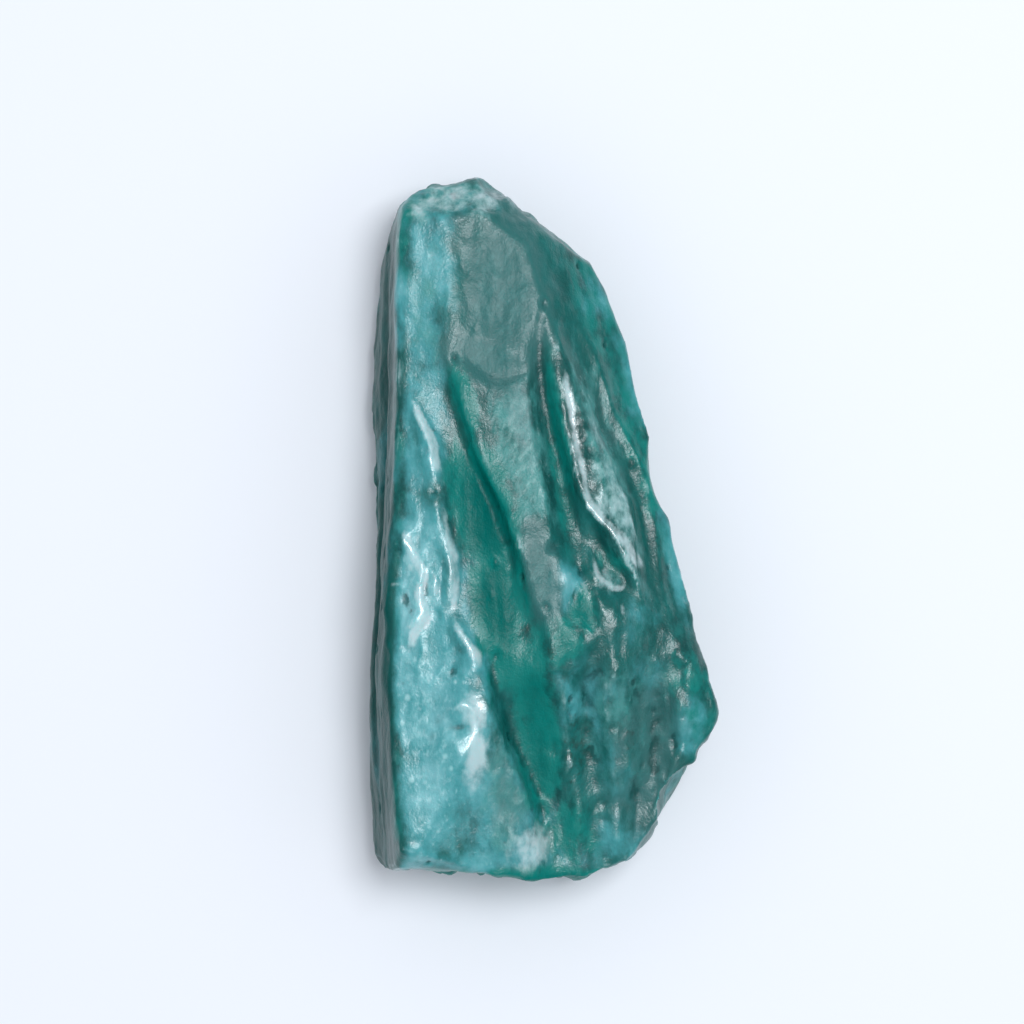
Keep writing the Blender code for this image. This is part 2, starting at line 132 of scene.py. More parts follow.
@dataclass(frozen=True)
class Course:
    """A line along the crystal, through rows that start with their place across and along a side."""

    rows: tuple[tuple[float, ...], ...]

    def smooth(self, steps: int = 5) -> np.ndarray:
        """The rows with more between them, on a curve that passes through each one (Catmull-Rom).

        Args:
            steps: how many rows each span is given.

        Returns:
            The rows as an array.
        """
        rows = np.array(self.rows, float)
        ends = np.vstack([2 * rows[0] - rows[1], rows, 2 * rows[-1] - rows[-2]])
        share = np.linspace(0, 1, steps, endpoint=False)[:, None]
        spans = []
        for before, start, stop, after in zip(ends, ends[1:], ends[2:], ends[3:]):
            turn = 2 * before - 5 * start + 4 * stop - after
            bend = 3 * start - before - 3 * stop + after
            curve = start + share * (stop - before) / 2 + share**2 * turn / 2 + share**3 * bend / 2
            spans.append(curve)
        return np.vstack([*spans, rows[-1:]])

    def nearest(self, places: np.ndarray) -> tuple[np.ndarray, np.ndarray]:
        """Finds the nearest place on the line.

        Args:
            places: where to look from, across and along the side, one row each.

        Returns:
            The line's row there, and the distance, above 0 on the left of a line that runs down.
        """
        rows = self.smooth()
        offset = np.full(len(places), np.inf)
        found = np.zeros((len(places), rows.shape[1]))
        for start, stop in zip(rows, rows[1:]):
            run = (stop - start)[:2]
            share = np.clip((places - start[:2]) @ run / (run @ run), 0, 1)[:, None]
            away = places - start[:2] - share * run
            side = np.where(run[1] * away[:, 0] - run[0] * away[:, 1] < 0, -1, 1)
            distance = np.hypot(away[:, 0], away[:, 1])
            nearer = distance < np.abs(offset)
            offset = np.where(nearer, distance * side, offset)
            found = np.where(nearer[:, None], start + share * (stop - start), found)
        return found, offset


@dataclass(frozen=True)
class Groove(Course):
    """A groove etched along a side, each row with its depth and the reach of its two banks.

    A bank's power is low where it is gentle and high where it is a cliff.
    """

    side: Side
    left_power: float
    right_power: float

    def height(self, places: np.ndarray) -> np.ndarray:
        """Works out the groove's height.

        Args:
            places: where to look, across and along the side, one row each.

        Returns:
            The height at each place, 0 or less.
        """
        found, offset = self.nearest(places)
        on_left = offset > 0
        reach = np.where(on_left, found[:, 3], found[:, 4])
        power = np.where(on_left, self.left_power, self.right_power)
        return -np.maximum(found[:, 2], 0) * (1 - np.clip(np.abs(offset) / reach, 0, 1) ** power)


@dataclass(frozen=True)
class Crest(Course):
    """A narrow raised edge, each row with its height."""

    half_width: float

    def height(self, places: np.ndarray) -> np.ndarray:
        """Works out the crest's height.

        Args:
            places: where to look, across and along the side, one row each.

        Returns:
            The height at each place.
        """
        found, offset = self.nearest(places)
        share = np.clip(1 - (offset / self.half_width) ** 2, 0, 1)
        return np.maximum(found[:, 2], 0) * share**1.5


@dataclass(frozen=True)
class Lump:
    """A low lump, or a hollow where its height is below 0."""

    side: Side
    x: float
    y: float
    half_width: float
    half_length: float
    rise: float

    def height(self, places: np.ndarray) -> np.ndarray:
        """Works out the lump's height.

        Args:
            places: where to look, across and along the side, one row each.

        Returns:
            The height at each place.
        """
        across = ((places[:, 0] - self.x) / self.half_width) ** 2
        along = ((places[:, 1] - self.y) / self.half_length) ** 2
        return self.rise * np.clip(1 - across - along, 0, 1) ** 1.5


@dataclass(frozen=True)
class Bowl:
    """An ellipsoid in the stone's millimetres, with a share for what it does there.

    Its core is the part round its middle from which a point isn't moved all the way to the wall.
    """

    centre: Triple
    half_sizes: Triple
    share: float = 1.0
    core: float = 0.05

    def inside(self, points: np.ndarray) -> np.ndarray:
        """Each point in the bowl's own measure, where its wall is at a distance of 1."""
        return (points - np.array(self.centre)) / np.array(self.half_sizes)

    def scooped(self, points: np.ndarray) -> np.ndarray:
        """Scoops the bowl out of the stone.

        Args:
            points: the stone's points, in millimetres.

        Returns:
            The points, with those in the bowl moved straight out to its wall.
        """
        inside = self.inside(points)
        distance = np.linalg.norm(inside, axis=1)[:, None]
        wall = np.array(self.centre) + inside / np.maximum(distance, self.core) * np.array(self.half_sizes)
        return np.where(distance < 1, wall, points)

    def strength(self, points: np.ndarray) -> np.ndarray:
        """The bowl's share inside it, fading out over the last third of the way to its wall."""
        return self.share * np.clip(2 - 2 * (self.inside(points) ** 2).sum(axis=1), 0, 1)


@dataclass(frozen=True)
class Patch:
    """An oval stretch of the front in one state of skin, turned about its middle.

    It starts to fade and is gone at the last two distances, in its own half sizes.
    """

    skin: Skin
    x: float
    y: float
    half_width: float
    half_length: float
    share: float
    turn: float = 0.0
    full_to: float = 0.2
    gone_from: float = 1.35

    def strength(self, x: np.ndarray, y: np.ndarray) -> np.ndarray:
        """Works out how far the patch shows.

        Args:
            x: how far across each place lies, in millimetres.
            y: how far along each place lies, in millimetres.

        Returns:
            The patch's share at each place.
        """
        angle = math.radians(self.turn)
        across = (x - self.x) * math.cos(angle) + (y - self.y) * math.sin(angle)
        along = (y - self.y) * math.cos(angle) - (x - self.x) * math.sin(angle)
        away = np.hypot(across / self.half_width, along / self.half_length)
        return self.share * (1 - fade(away, self.full_to, self.gone_from))


@dataclass(frozen=True)
class Pattern:
    """A pattern through the stone: its wavelengths in millimetres, how high it rises, and its seed."""

    waves: Triple
    rise: float
    seed: int

    def ripples(self, points: np.ndarray) -> np.ndarray:
        """Smooth noise at each point, from about -1 to 1."""
        places = points / np.array(self.waves) + np.array(NOISE_STEP) * self.seed
        return np.array([noise.noise(place) for place in places.tolist()])

    def height(self, points: np.ndarray) -> np.ndarray:
        """The height of smooth noise at each point."""
        return self.ripples(points) * self.rise

    def cells(self, points: np.ndarray) -> np.ndarray:
        """How far each point is from the middle of the nearest of many scattered cells, at most 1."""
        places = points / np.array(self.waves) + np.array(CELL_STEP) * self.seed
        return np.minimum([noise.voronoi(place)[0][0] for place in places.tolist()], 1.0)

    def facets(self, points: np.ndarray) -> np.ndarray:
        """Works out the height of small flat facets, each leaning its own way, as stone breaks.

        Args:
            points: places in millimetres, one row each.

        Returns:
            The height at each point, up to about half the rise either way.
        """
        places = points / np.array(self.waves) + np.array(CELL_STEP) * self.seed
        heights = []
        for place in places.tolist():
            middle = noise.voronoi(place)[1][0]
            lean = noise.cell_vector(middle) - Vector((0.5, 0.5, 0.5))
            heights.append((Vector(place) - middle).dot(lean))
        return np.array(heights) * self.rise


# The flat faces of the broken prism: a point on each and the way it looks.
FACES = {
    "left front": Face(Side.FRONT, (-6.0, -8.0, 13.2), (-0.17, 0.06, 0.985)),
    "upper front": Face(Side.FRONT, (-5.6, 12.0, 12.1), (0.08, 0.09, 0.99)),
    "right front": Face(Side.FRONT, (0.4, 15.5, 11.3), (0.61, 0.25, 0.75)),
    "lower front": Face(Side.FRONT, (2.0, -9.0, 13.2), (0.2, -0.13, 0.97)),
    "foot bevel": Face(Side.FRONT, (-4.0, -21.3, 13.9), (-0.05, -0.76, 0.65)),
    "tip bevel": Face(Side.FRONT, (-5.5, 22.5, 9.4), (-0.05, 0.75, 0.66)),
    "tip right bevel": Face(Side.FRONT, (1.0, 19.6, 9.4), (0.42, 0.55, 0.72)),
    "left side": Face(Side.LEFT, (-11.7, -10.4, 3.9), (-0.977, 0.045, 0.2)),
    "lower left side": Face(Side.LEFT, (-11.35, -16.0, 3.9), (-0.977, -0.052, 0.2)),
    "left back": Face(Side.LEFT, (-11.4, -5.0, 3.7), (-0.66, -0.03, -0.75)),
    "tip left": Face(Side.LEFT, (-9.8, 19.6, 6.0), (-0.95, 0.275, 0.08)),
    "tip left corner": Face(Side.LEFT, (-8.7, 22.0, 6.5), (-0.7, 0.71, 0.1)),
    "right side": Face(Side.RIGHT, (7.0, 9.4, 8.6), (0.955, 0.205, -0.2)),
    "shoulder": Face(Side.RIGHT, (5.1, 15.1, 8.6), (0.92, 0.37, -0.12)),
    "right back": Face(Side.RIGHT, (8.9, -1.5, 5.4), (0.7, 0.16, -0.69)),
    "tip right": Face(Side.RIGHT, (-0.8, 21.0, 6.0), (0.57, 0.82, 0.04)),
    "foot right": Face(Side.RIGHT, (9.75, -16.7, 9.0), (0.866, -0.5, 0.02)),
    "foot corner": Face(Side.RIGHT, (7.1, -21.2, 7.0), (0.788, -0.616, 0.04)),
    "foot last corner": Face(Side.RIGHT, (5.1, -22.7, 7.0), (0.426, -0.905, 0.04)),
    "back": Face(Side.BACK, (0.0, 0.0, 0.3), (0.0, 0.0, -1.0)),
    "tip back": Face(Side.BACK, (-5.0, 20.5, 3.2), (0.05, 0.62, -0.78)),
    "foot back": Face(Side.BACK, (-2.0, -22.4, 2.6), (0.06, -0.78, -0.62)),
    "tip": Face(Side.ENDS, (-5.2, 23.1, 6.0), (-0.15, 0.98, 0.05)),
    "foot": Face(Side.ENDS, (-4.0, -23.15, 7.0), (-0.06, -0.998, 0.06)),
}

# The grooves: across, along, depth, reach of the left bank, reach of the right bank.
GROOVES = {
    "main valley, upper": Groove(
        (
            (-6.2, 11.2, 0.0, 1.4, 0.35), (-5.4, 8.3, 0.6, 2.4, 0.35), (-4.8, 6.1, 1.0, 2.5, 0.35),
            (-4.4, 4.8, 1.25, 2.6, 0.35), (-3.4, 2.8, 1.5, 3.4, 0.35), (-2.5, 0.8, 1.6, 3.9, 0.4),
            (-1.9, -1.4, 1.5, 4.0, 0.5), (-1.8, -3.6, 1.25, 3.9, 1.2), (-1.9, -6.4, 0.9, 3.4, 2.4),
            (-1.9, -9.5, 0.5, 2.4, 2.8), (-1.8, -12.5, 0.0, 1.6, 2.6),
        ),
        Side.FRONT, 1.35, 3.0,
    ),
    "main valley, lower": Groove(
        (
            (-3.1, -4.6, 0.0, 2.2, 1.2), (-2.9, -7.4, 0.45, 1.5, 2.6), (-2.8, -9.6, 1.1, 0.6, 3.2),
            (-2.2, -12.0, 1.6, 0.55, 3.8), (-1.0, -14.9, 1.7, 0.55, 3.6), (0.1, -17.9, 1.4, 0.6, 2.8),
            (0.8, -20.6, 0.8, 0.8, 2.2), (1.0, -22.9, 0.4, 0.8, 1.8),
        ),
        Side.FRONT, 3.0, 1.6,
    ),
    "second groove": Groove(
        (
            (0.1, 13.6, 0.0, 0.6, 0.4), (0.3, 10.0, 0.6, 0.8, 0.65), (0.8, 6.7, 1.0, 1.0, 0.7),
            (1.4, 3.5, 1.15, 1.0, 0.95), (1.8, 1.2, 1.1, 1.0, 1.35), (2.5, -1.8, 0.8, 1.0, 1.3),
            (3.2, -4.4, 0.45, 0.9, 0.9), (3.8, -7.7, 0.0, 0.8, 0.8),
        ),
        Side.FRONT, 2.0, 4.0,
    ),
    "pocket under the slab": Groove(
        (
            (2.8, 0.6, 0.3, 1.2, 0.9), (3.9, -1.3, 0.9, 1.3, 1.0), (5.1, -3.1, 0.85, 1.5, 1.0),
            (6.6, -5.2, 0.4, 1.4, 0.9), (7.6, -7.4, 0.0, 1.0, 0.8),
        ),
        Side.FRONT, 2.0, 5.0,
    ),
    "groove right of the slab": Groove(
        (
            (1.6, 14.4, 0.0, 0.5, 1.0), (3.1, 10.7, 0.55, 0.45, 1.1), (4.3, 7.4, 0.85, 0.45, 1.2),
            (5.7, 4.1, 0.95, 0.45, 1.2), (6.6, 1.0, 0.95, 0.45, 1.2), (7.2, -2.0, 0.85, 0.6, 1.2),
            (7.9, -5.8, 0.5, 0.9, 1.2), (8.9, -9.6, 0.0, 1.0, 1.2),
        ),
        Side.FRONT, 2.5, 1.7,
    ),
    "flank flute": Groove(
        (
            (3.4, 16.4, 0.0, 0.8, 0.8), (4.9, 12.0, 0.3, 0.9, 0.8), (6.2, 8.1, 0.34, 0.9, 0.8),
            (7.3, 4.1, 0.34, 0.9, 0.8), (8.2, 0.2, 0.3, 0.9, 0.8), (9.1, -3.8, 0.3, 0.9, 0.8),
            (10.1, -8.4, 0.0, 0.8, 0.8),
        ),
        Side.FRONT, 1.6, 1.6,
    ),
    "step below the upper face": Groove(
        (
            (-5.7, 12.6, 0.0, 0.6, 1.6), (-4.6, 11.4, 0.1, 0.6, 2.2), (-3.4, 10.3, 0.2, 0.6, 2.6),
            (-2.3, 9.8, 0.2, 0.6, 2.4), (-1.1, 10.2, 0.16, 0.6, 1.8), (-0.2, 11.4, 0.0, 0.6, 1.0),
        ),
        Side.FRONT, 2.5, 1.5,
    ),
    "lower knobs, left": Groove(
        (
            (3.6, -6.2, 0.0, 1.0, 1.0), (3.7, -9.4, 0.55, 1.3, 1.1), (3.3, -12.6, 0.75, 1.4, 1.2),
            (3.6, -15.8, 0.6, 1.5, 1.3), (4.2, -19.0, 0.35, 1.2, 1.2), (4.4, -22.4, 0.1, 1.0, 1.0),
        ),
        Side.FRONT, 1.5, 2.2,
    ),
    "lower knobs, right": Groove(
        (
            (8.2, -8.0, 0.0, 1.0, 1.0), (7.6, -11.0, 0.6, 1.4, 1.5), (7.9, -14.0, 0.8, 1.3, 1.6),
            (7.2, -17.0, 0.6, 1.2, 1.4), (6.3, -19.8, 0.3, 1.0, 1.2),
        ),
        Side.FRONT, 2.4, 1.5,
    ),
    "long back flute": Groove(
        (
            (-7.6, 17.5, 0.0, 0.8, 0.9), (-7.9, 10.0, 0.75, 1.3, 0.9), (-8.4, 2.0, 0.95, 1.5, 1.0),
            (-8.6, -6.0, 0.8, 1.4, 1.0), (-8.8, -14.0, 0.0, 1.0, 0.8),
        ),
        Side.BACK, 2.0, 3.0,
    ),
    "right back flute": Groove(
        (
            (0.6, 16.0, 0.0, 0.8, 1.0), (2.8, 9.0, 0.8, 0.9, 1.5), (4.8, 1.0, 1.1, 1.0, 1.8),
            (6.6, -7.0, 1.0, 1.0, 1.7), (8.0, -13.0, 0.0, 0.9, 1.2),
        ),
        Side.BACK, 3.0, 2.0,
    ),
    "outer back flute": Groove(
        (
            (4.2, 10.0, 0.0, 0.7, 0.7), (6.0, 3.5, 0.45, 0.9, 0.9), (7.9, -3.5, 0.5, 1.0, 0.9),
            (9.3, -9.5, 0.0, 0.8, 0.8),
        ),
        Side.BACK, 2.0, 2.0,
    ),
    "left side flute": Groove(
        (
            (6.6, 17.0, 0.0, 0.9, 0.9), (7.0, 9.0, 0.45, 1.3, 1.2), (7.6, 0.0, 0.6, 1.5, 1.3),
            (8.0, -9.0, 0.45, 1.4, 1.2), (8.2, -17.0, 0.0, 1.0, 1.0),
        ),
        Side.LEFT, 2.0, 2.0,
    ),
    "lower left flute": Groove(
        (
            (3.4, 9.0, 0.0, 0.8, 0.8), (3.9, 1.0, 0.4, 1.0, 1.3), (4.6, -8.0, 0.5, 1.0, 1.4),
            (5.0, -15.0, 0.0, 0.8, 1.0),
        ),
        Side.LEFT, 3.0, 1.6,
    ),
    "right side flute": Groove(
        (
            (6.0, 13.0, 0.0, 0.8, 0.8), (6.2, 6.0, 0.45, 1.1, 1.1), (6.6, -1.0, 0.55, 1.2, 1.2),
            (7.2, -9.0, 0.0, 1.0, 1.0),
        ),
        Side.RIGHT, 2.0, 2.0,
    ),
}

# The raised edges on the front: across, along, height.
CRESTS = {
    "left crest, top": Crest(
        ((-8.7, 9.0, 0.1), (-7.8, 7.3, 0.34), (-7.0, 5.6, 0.36), (-6.8, 4.2, 0.24), (-6.6, 3.2, 0.0)),
        0.5,
    ),
    "left crest, middle": Crest(
        (
            (-6.6, 2.4, 0.0), (-6.4, 1.2, 0.16), (-6.1, 0.0, 0.2), (-5.8, -1.6, 0.28),
            (-5.6, -3.2, 0.28), (-5.6, -4.8, 0.22), (-5.6, -5.3, 0.0),
        ),
        0.5,
    ),
    "left crest, lower": Crest(
        ((-5.7, -5.6, 0.1), (-5.0, -7.1, 0.26), (-4.3, -8.2, 0.28), (-4.0, -9.4, 0.06)),
        0.45,
    ),
    "wrinkle on the left face": Crest(
        (
            (-9.2, 0.4, 0.0), (-8.8, -0.4, 0.3), (-8.3, -1.6, 0.36), (-7.7, -2.7, 0.38),
            (-8.0, -4.0, 0.3), (-7.5, -5.5, 0.36), (-8.2, -6.6, 0.3), (-8.6, -7.8, 0.0),
        ),
        0.55,
    ),
    "short wrinkle": Crest(((-7.2, -1.8, 0.0), (-6.9, -3.4, 0.26), (-7.0, -5.0, 0.0)), 0.4),
    "slab rim": Crest(
        (
            (1.3, 10.9, 0.1), (1.6, 9.6, 0.22), (1.8, 7.6, 0.26), (2.1, 5.6, 0.24), (2.6, 3.6, 0.26),
            (2.9, 2.2, 0.28), (3.6, 1.1, 0.34), (4.6, 0.0, 0.36), (5.4, -0.9, 0.36), (6.1, -2.1, 0.3),
            (6.5, -2.9, 0.0),
        ),
        0.42,
    ),
    "ledge rim": Crest(
        ((3.2, -1.4, 0.1), (3.5, -2.6, 0.28), (4.3, -3.3, 0.28), (5.1, -3.7, 0.3), (5.6, -3.2, 0.05)),
        0.34,
    ),
    "hollow rim": Crest(
        ((1.8, -2.8, 0.0), (2.6, -3.6, 0.18), (3.2, -4.6, 0.16), (3.5, -5.4, 0.0)),
        0.32,
    ),
    "glint below the ledge": Crest(
        ((5.0, -4.2, 0.0), (5.1, -5.0, 0.22), (5.0, -6.0, 0.0)),
        0.3,
    ),
}

LUMPS = {
    "upper blister": Lump(Side.FRONT, -5.1, -11.6, 1.4, 1.8, 0.4),
    "lower blister": Lump(Side.FRONT, -5.3, -14.8, 2.0, 2.6, 0.42),
    "heel blister": Lump(Side.FRONT, -1.6, -20.2, 1.7, 1.7, 0.4),
    "tip dish": Lump(Side.FRONT, -2.5, 16.2, 2.9, 5.6, -0.22),
    "window hollow": Lump(Side.FRONT, 2.3, -5.1, 0.8, 1.5, -0.42),
    "lower right facet": Lump(Side.FRONT, 4.9, -10.2, 2.0, 2.8, 0.35),
    "heel facet": Lump(Side.FRONT, 5.2, -20.0, 1.6, 1.9, 0.4),
    "knuckle": Lump(Side.FRONT, 9.8, -11.8, 1.5, 2.4, 0.45),
    "pit on the ridge": Lump(Side.FRONT, 1.2, -1.3, 0.5, 0.5, -0.5),
    "dimple in the slab": Lump(Side.FRONT, 3.5, 5.0, 0.42, 0.58, -0.34),
    "pit on the crest": Lump(Side.FRONT, -6.7, 6.3, 0.3, 0.34, -0.34),
    "pit on the left face": Lump(Side.FRONT, -8.9, -10.3, 0.3, 0.3, -0.3),
    "pit between blisters": Lump(Side.FRONT, -5.1, -13.0, 0.65, 0.45, -0.36),
    "pit in the wrinkle": Lump(Side.FRONT, -8.5, -4.6, 0.48, 0.62, -0.26),
    "low pit": Lump(Side.FRONT, -8.0, -20.4, 0.35, 0.3, -0.3),
    "resting flat": Lump(Side.BACK, -1.3, -3.5, 5.6, 13.5, 1.3),
    "back hollow": Lump(Side.BACK, -3.0, 14.5, 3.0, 3.5, -0.9),
    "heel hollow": Lump(Side.BACK, 3.5, -19.5, 4.0, 3.0, -0.9),
}

# Chips broken out of the edges.
CHIPS = (
    Bowl((11.0, -18.5, 9.0), (3.0, 3.0, 5.5)),
    Bowl((10.9, 4.6, 8.6), (3.4, 5.0, 4.6)),
    Bowl((1.6, 22.4, 9.4), (2.6, 2.4, 3.0)),
    Bowl((-2.2, 23.7, 9.8), (2.0, 1.9, 2.6)),
    Bowl((-12.6, 15.0, 10.0), (2.4, 3.2, 3.4)),
    Bowl((6.8, 20.6, 3.0), (4.4, 4.4, 3.4)),
    Bowl((-12.6, -24.0, 6.0), (2.9, 2.6, 3.6)),
    Bowl((-2.5, -26.2, 1.4), (5.2, 4.2, 3.0)),
    Bowl((-8.6, 25.4, 2.4), (4.2, 3.8, 3.0)),
    Bowl((13.4, -8.0, 2.2), (3.6, 6.0, 3.0)),
    Bowl((-13.4, -12.6, 1.0), (3.2, 5.0, 2.8)),
    Bowl((-13.0, 8.0, 0.8), (3.2, 6.5, 2.8)),
)

# Stretches where the stone broke roughly.
BROKEN = (
    Bowl((5.6, -13.5, 12.5), (6.2, 9.5, 6.0), 0.45),
    Bowl((10.0, -14.0, 9.0), (3.6, 8.5, 7.0), 0.7),
    Bowl((2.5, -6.5, 13.5), (2.6, 4.0, 3.0), 0.35),
    Bowl((0.0, -23.5, 4.0), (13.0, 4.5, 9.0), 0.8),
    Bowl((-2.0, 22.5, 6.0), (9.0, 3.6, 7.0), 0.6),
    Bowl((5.5, -4.0, 1.0), (7.0, 17.0, 3.0), 0.9),
    Bowl((-10.0, -2.0, 2.0), (4.0, 16.0, 3.5), 0.6),
)

# Stretches where the front is creased by etching.
CREASED = (
    Bowl((-8.2, -4.5, 12.6), (2.6, 7.0, 4.0), 1.0),
    Bowl((-5.4, -11.5, 13.2), (2.2, 5.5, 4.0), 0.6),
    Bowl((0.0, -19.5, 12.0), (3.0, 3.0, 4.0), 0.7),
)

# Where a state turns up by chance away from the front: a pattern whose rise is the most that it
# shows, and where in the pattern it starts to show and shows in full.
CHANCES = {
    Skin.CLEAR: (Pattern((3.0, 8.0, 3.0), 0.6, 11), (-0.2, 0.4)),
    Skin.HAZE: (Pattern((3.0, 6.0, 3.0), 0.7, 12), (0.0, 0.5)),
    Skin.EARTH: (Pattern((2.0, 3.0, 2.0), 0.8, 13), (0.35, 0.6)),
}

# Where the front's skin differs: clear in the etched hollows, hazed by inner cracks, with the haze on
# the left face also painting a soft sheen, frosted on the broken ridges, satin on the upper face, worn
# and given painted glints on the blisters and rims, in painted shade down the left side, and earthy
# in a few open cracks.
PATCHES = (
    Patch(Skin.CLEAR, -3.9, 1.4, 2.0, 4.8, 1.35, 14.0),
    Patch(Skin.CLEAR, -2.9, -5.0, 1.9, 5.0, 1.2, 6.0),
    Patch(Skin.CLEAR, -5.0, 8.0, 0.9, 3.0, 0.7, 10.0),
    Patch(Skin.CLEAR, -0.4, -12.5, 1.5, 7.0, 0.85, 5.0),
    Patch(Skin.CLEAR, 2.7, -5.0, 0.9, 1.5, 1.0, 10.0),
    Patch(Skin.CLEAR, 1.0, 5.2, 0.7, 6.2, 0.7, 6.0),
    Patch(Skin.CLEAR, 4.4, -2.0, 1.5, 0.7, 0.6, -40.0),
    Patch(Skin.CLEAR, 1.3, -7.1, 1.2, 1.7, 0.8),
    Patch(Skin.CLEAR, 9.6, -10.5, 1.6, 4.0, 0.28, 12.0),
    Patch(Skin.CLEAR, -2.0, -23.4, 10.0, 1.6, 1.6),
    Patch(Skin.CLEAR, 1.6, -19.5, 2.2, 2.4, 0.5),
    Patch(Skin.CLEAR, 3.6, 14.5, 1.6, 6.0, 0.22, 15.0),
    Patch(Skin.CLEAR, 6.3, 5.0, 1.0, 7.5, 0.32, 14.0),
    # The haze on the left face is real milkiness and also paints the soft sheen of the sky there.
    Patch(Skin.HAZE, -7.6, -12.5, 4.4, 13.5, 1.15),
    Patch(Skin.HAZE, -4.0, -18.5, 4.6, 5.0, 0.75),
    Patch(Skin.HAZE, -8.0, -3.6, 2.2, 6.5, 1.3),
    Patch(Skin.HAZE, -7.9, 9.0, 2.0, 13.0, 0.82),
    Patch(Skin.HAZE, -7.2, 17.0, 1.8, 5.0, 0.95),
    Patch(Skin.HAZE, -4.0, -21.0, 8.0, 1.2, 0.8),
    Patch(Skin.HAZE, 3.7, -10.6, 2.2, 3.8, 0.28),
    Patch(Skin.HAZE, 5.0, -20.2, 2.4, 2.2, 0.5),
    Patch(Skin.HAZE, 6.6, -6.2, 1.6, 3.2, 0.28, 15.0),
    Patch(Skin.HAZE, 1.6, -10.5, 1.0, 2.6, 0.4),
    Patch(Skin.HAZE, 5.4, 11.5, 0.8, 3.2, 0.6, 18.0),
    Patch(Skin.HAZE, 8.6, -2.0, 0.7, 4.5, 0.7, 14.0),
    Patch(Skin.HAZE, 6.2, 8.4, 1.1, 2.2, 0.5, 14.0),
    Patch(Skin.HAZE, 3.4, 15.4, 1.2, 2.6, 0.6, 25.0),
    Patch(Skin.HAZE, 8.2, 2.4, 0.7, 2.6, 0.45, 12.0),
    Patch(Skin.HAZE, -5.1, -5.6, 0.9, 4.5, 0.7, 8.0),
    Patch(Skin.HAZE, 9.4, -12.4, 1.2, 1.9, 0.85),
    Patch(Skin.HAZE, 7.0, -9.6, 2.0, 2.6, 0.26),
    Patch(Skin.HAZE, 1.3, -3.4, 1.2, 1.7, 1.0),
    Patch(Skin.HAZE, 5.2, -15.4, 2.0, 2.8, 0.26),
    Patch(Skin.FROST, -2.4, -17.4, 1.7, 3.8, 0.9),
    Patch(Skin.FROST, -7.6, 14.0, 1.9, 6.5, 0.4),
    Patch(Skin.FROST, -1.5, 6.0, 2.0, 6.6, 1.0, 12.0),
    Patch(Skin.FROST, 4.0, 4.4, 1.2, 7.6, 1.0, 14.0),
    Patch(Skin.SATIN, -2.8, 15.6, 3.5, 6.2, 1.1),
    Patch(Skin.SATIN, -3.6, 11.3, 2.9, 1.8, 1.1, -15.0),
    Patch(Skin.SATIN, -0.1, -2.8, 1.3, 3.6, 1.1, 12.0),
    Patch(Skin.SATIN, -2.4, -16.2, 1.4, 4.2, 0.16, 10.0),
    Patch(Skin.SATIN, 6.2, -14.0, 4.2, 7.0, 0.26),
    Patch(Skin.FROST, 4.6, -3.0, 1.0, 0.9, 0.8, 20.0),
    Patch(Skin.FROST, 5.6, -12.0, 3.0, 4.5, 0.45),
    Patch(Skin.FROST, -6.5, 21.6, 4.5, 1.6, 1.0),
    Patch(Skin.HAZE, -5.8, 21.5, 4.5, 1.4, 0.3),
    Patch(Skin.WORN, -5.8, 21.4, 4.5, 1.3, 0.45),
    # Worn patches on the blisters, the heel, the slab rim and the ledge, which also carry painted glints.
    Patch(Skin.WORN, -4.5, -11.5, 0.8, 1.6, 1.3, 12.0),
    Patch(Skin.WORN, -4.4, -14.7, 0.85, 2.1, 1.4),
    Patch(Skin.WORN, -1.0, -20.3, 1.5, 1.6, 1.0),
    Patch(Skin.WORN, 4.5, 1.8, 1.1, 3.4, 0.6, 24.0),
    Patch(Skin.WORN, 4.2, -3.0, 0.9, 0.8, 0.6),
    # Painted shade down the left edge of the front.
    Patch(Skin.HOLLOW, -10.9, -3.0, 0.9, 26.0, 0.9),
    Patch(Skin.EARTH, 0.6, -7.8, 0.7, 0.9, 1.0),
    Patch(Skin.EARTH, 2.2, -13.8, 1.4, 3.2, 0.9),
    Patch(Skin.EARTH, 5.4, -13.4, 1.5, 2.2, 0.6),
    Patch(Skin.EARTH, 7.8, -16.0, 1.1, 1.8, 0.6),
    Patch(Skin.EARTH, -0.9, -6.2, 0.35, 0.6, 0.9),
    Patch(Skin.EARTH, -2.1, 8.8, 0.6, 1.2, 0.5),
)


def fill_inputs(tree: Tree, node: bpy.types.Node, inputs: dict[str | int, Any]) -> None:
    """Gives a node's inputs their values and links.

    Args:
        tree: the node tree.
        node: the node.
        inputs: a value, or the socket to link from, for each of the node's inputs.
    """
    for name, value in inputs.items():
        if isinstance(value, Socket):
            tree.links.new(value, node.inputs[name])
        else:
            node.inputs[name].default_value = value


def link_node(
    tree: Tree, kind: str, inputs: dict[str | int, Any], output: str | int = 0, **settings: Any
) -> Socket:
    """Adds a node with its settings, values and links.

    Args:
        tree: the node tree.
        kind: the node's type name, without the ShaderNode in front.
        inputs: a value, or the socket to link from, for each of the node's inputs.
        output: the output that is used.
        settings: the node's own properties.

    Returns:
        The socket of that output.
    """
    node = tree.nodes.new("ShaderNode" + kind)
    for name, value in settings.items():
        setattr(node, name, value)
    fill_inputs(tree, node, inputs)
    return node.outputs[output]


class Grain(Enum):
    """The patterns that break up the skin: size in millimetres, layers, length to width, and turn.

    The one without layers is of scattered round spots. The finest etch grain is under 0.1 mm, which is
    too fine to show, so DUST is drawn as coarse as it needs to show.
    """

    CLOUD = (3.4, 4.0, 2.2, 0.0)
    VEIL = (1.8, 8.0, 1.6, 10.0)
    MOTTLE = (1.1, 6.0, 1.6, 0.0)
    STREAK = (0.42, 5.0, 2.2, -28.0)
    FLECK = (0.38, 3.0, 1.4, 0.0)
    BUBBLE = (1.2, 0.0, 1.2, 0.0)
    DUST = (0.16, 2.0, 1.2, 0.0)


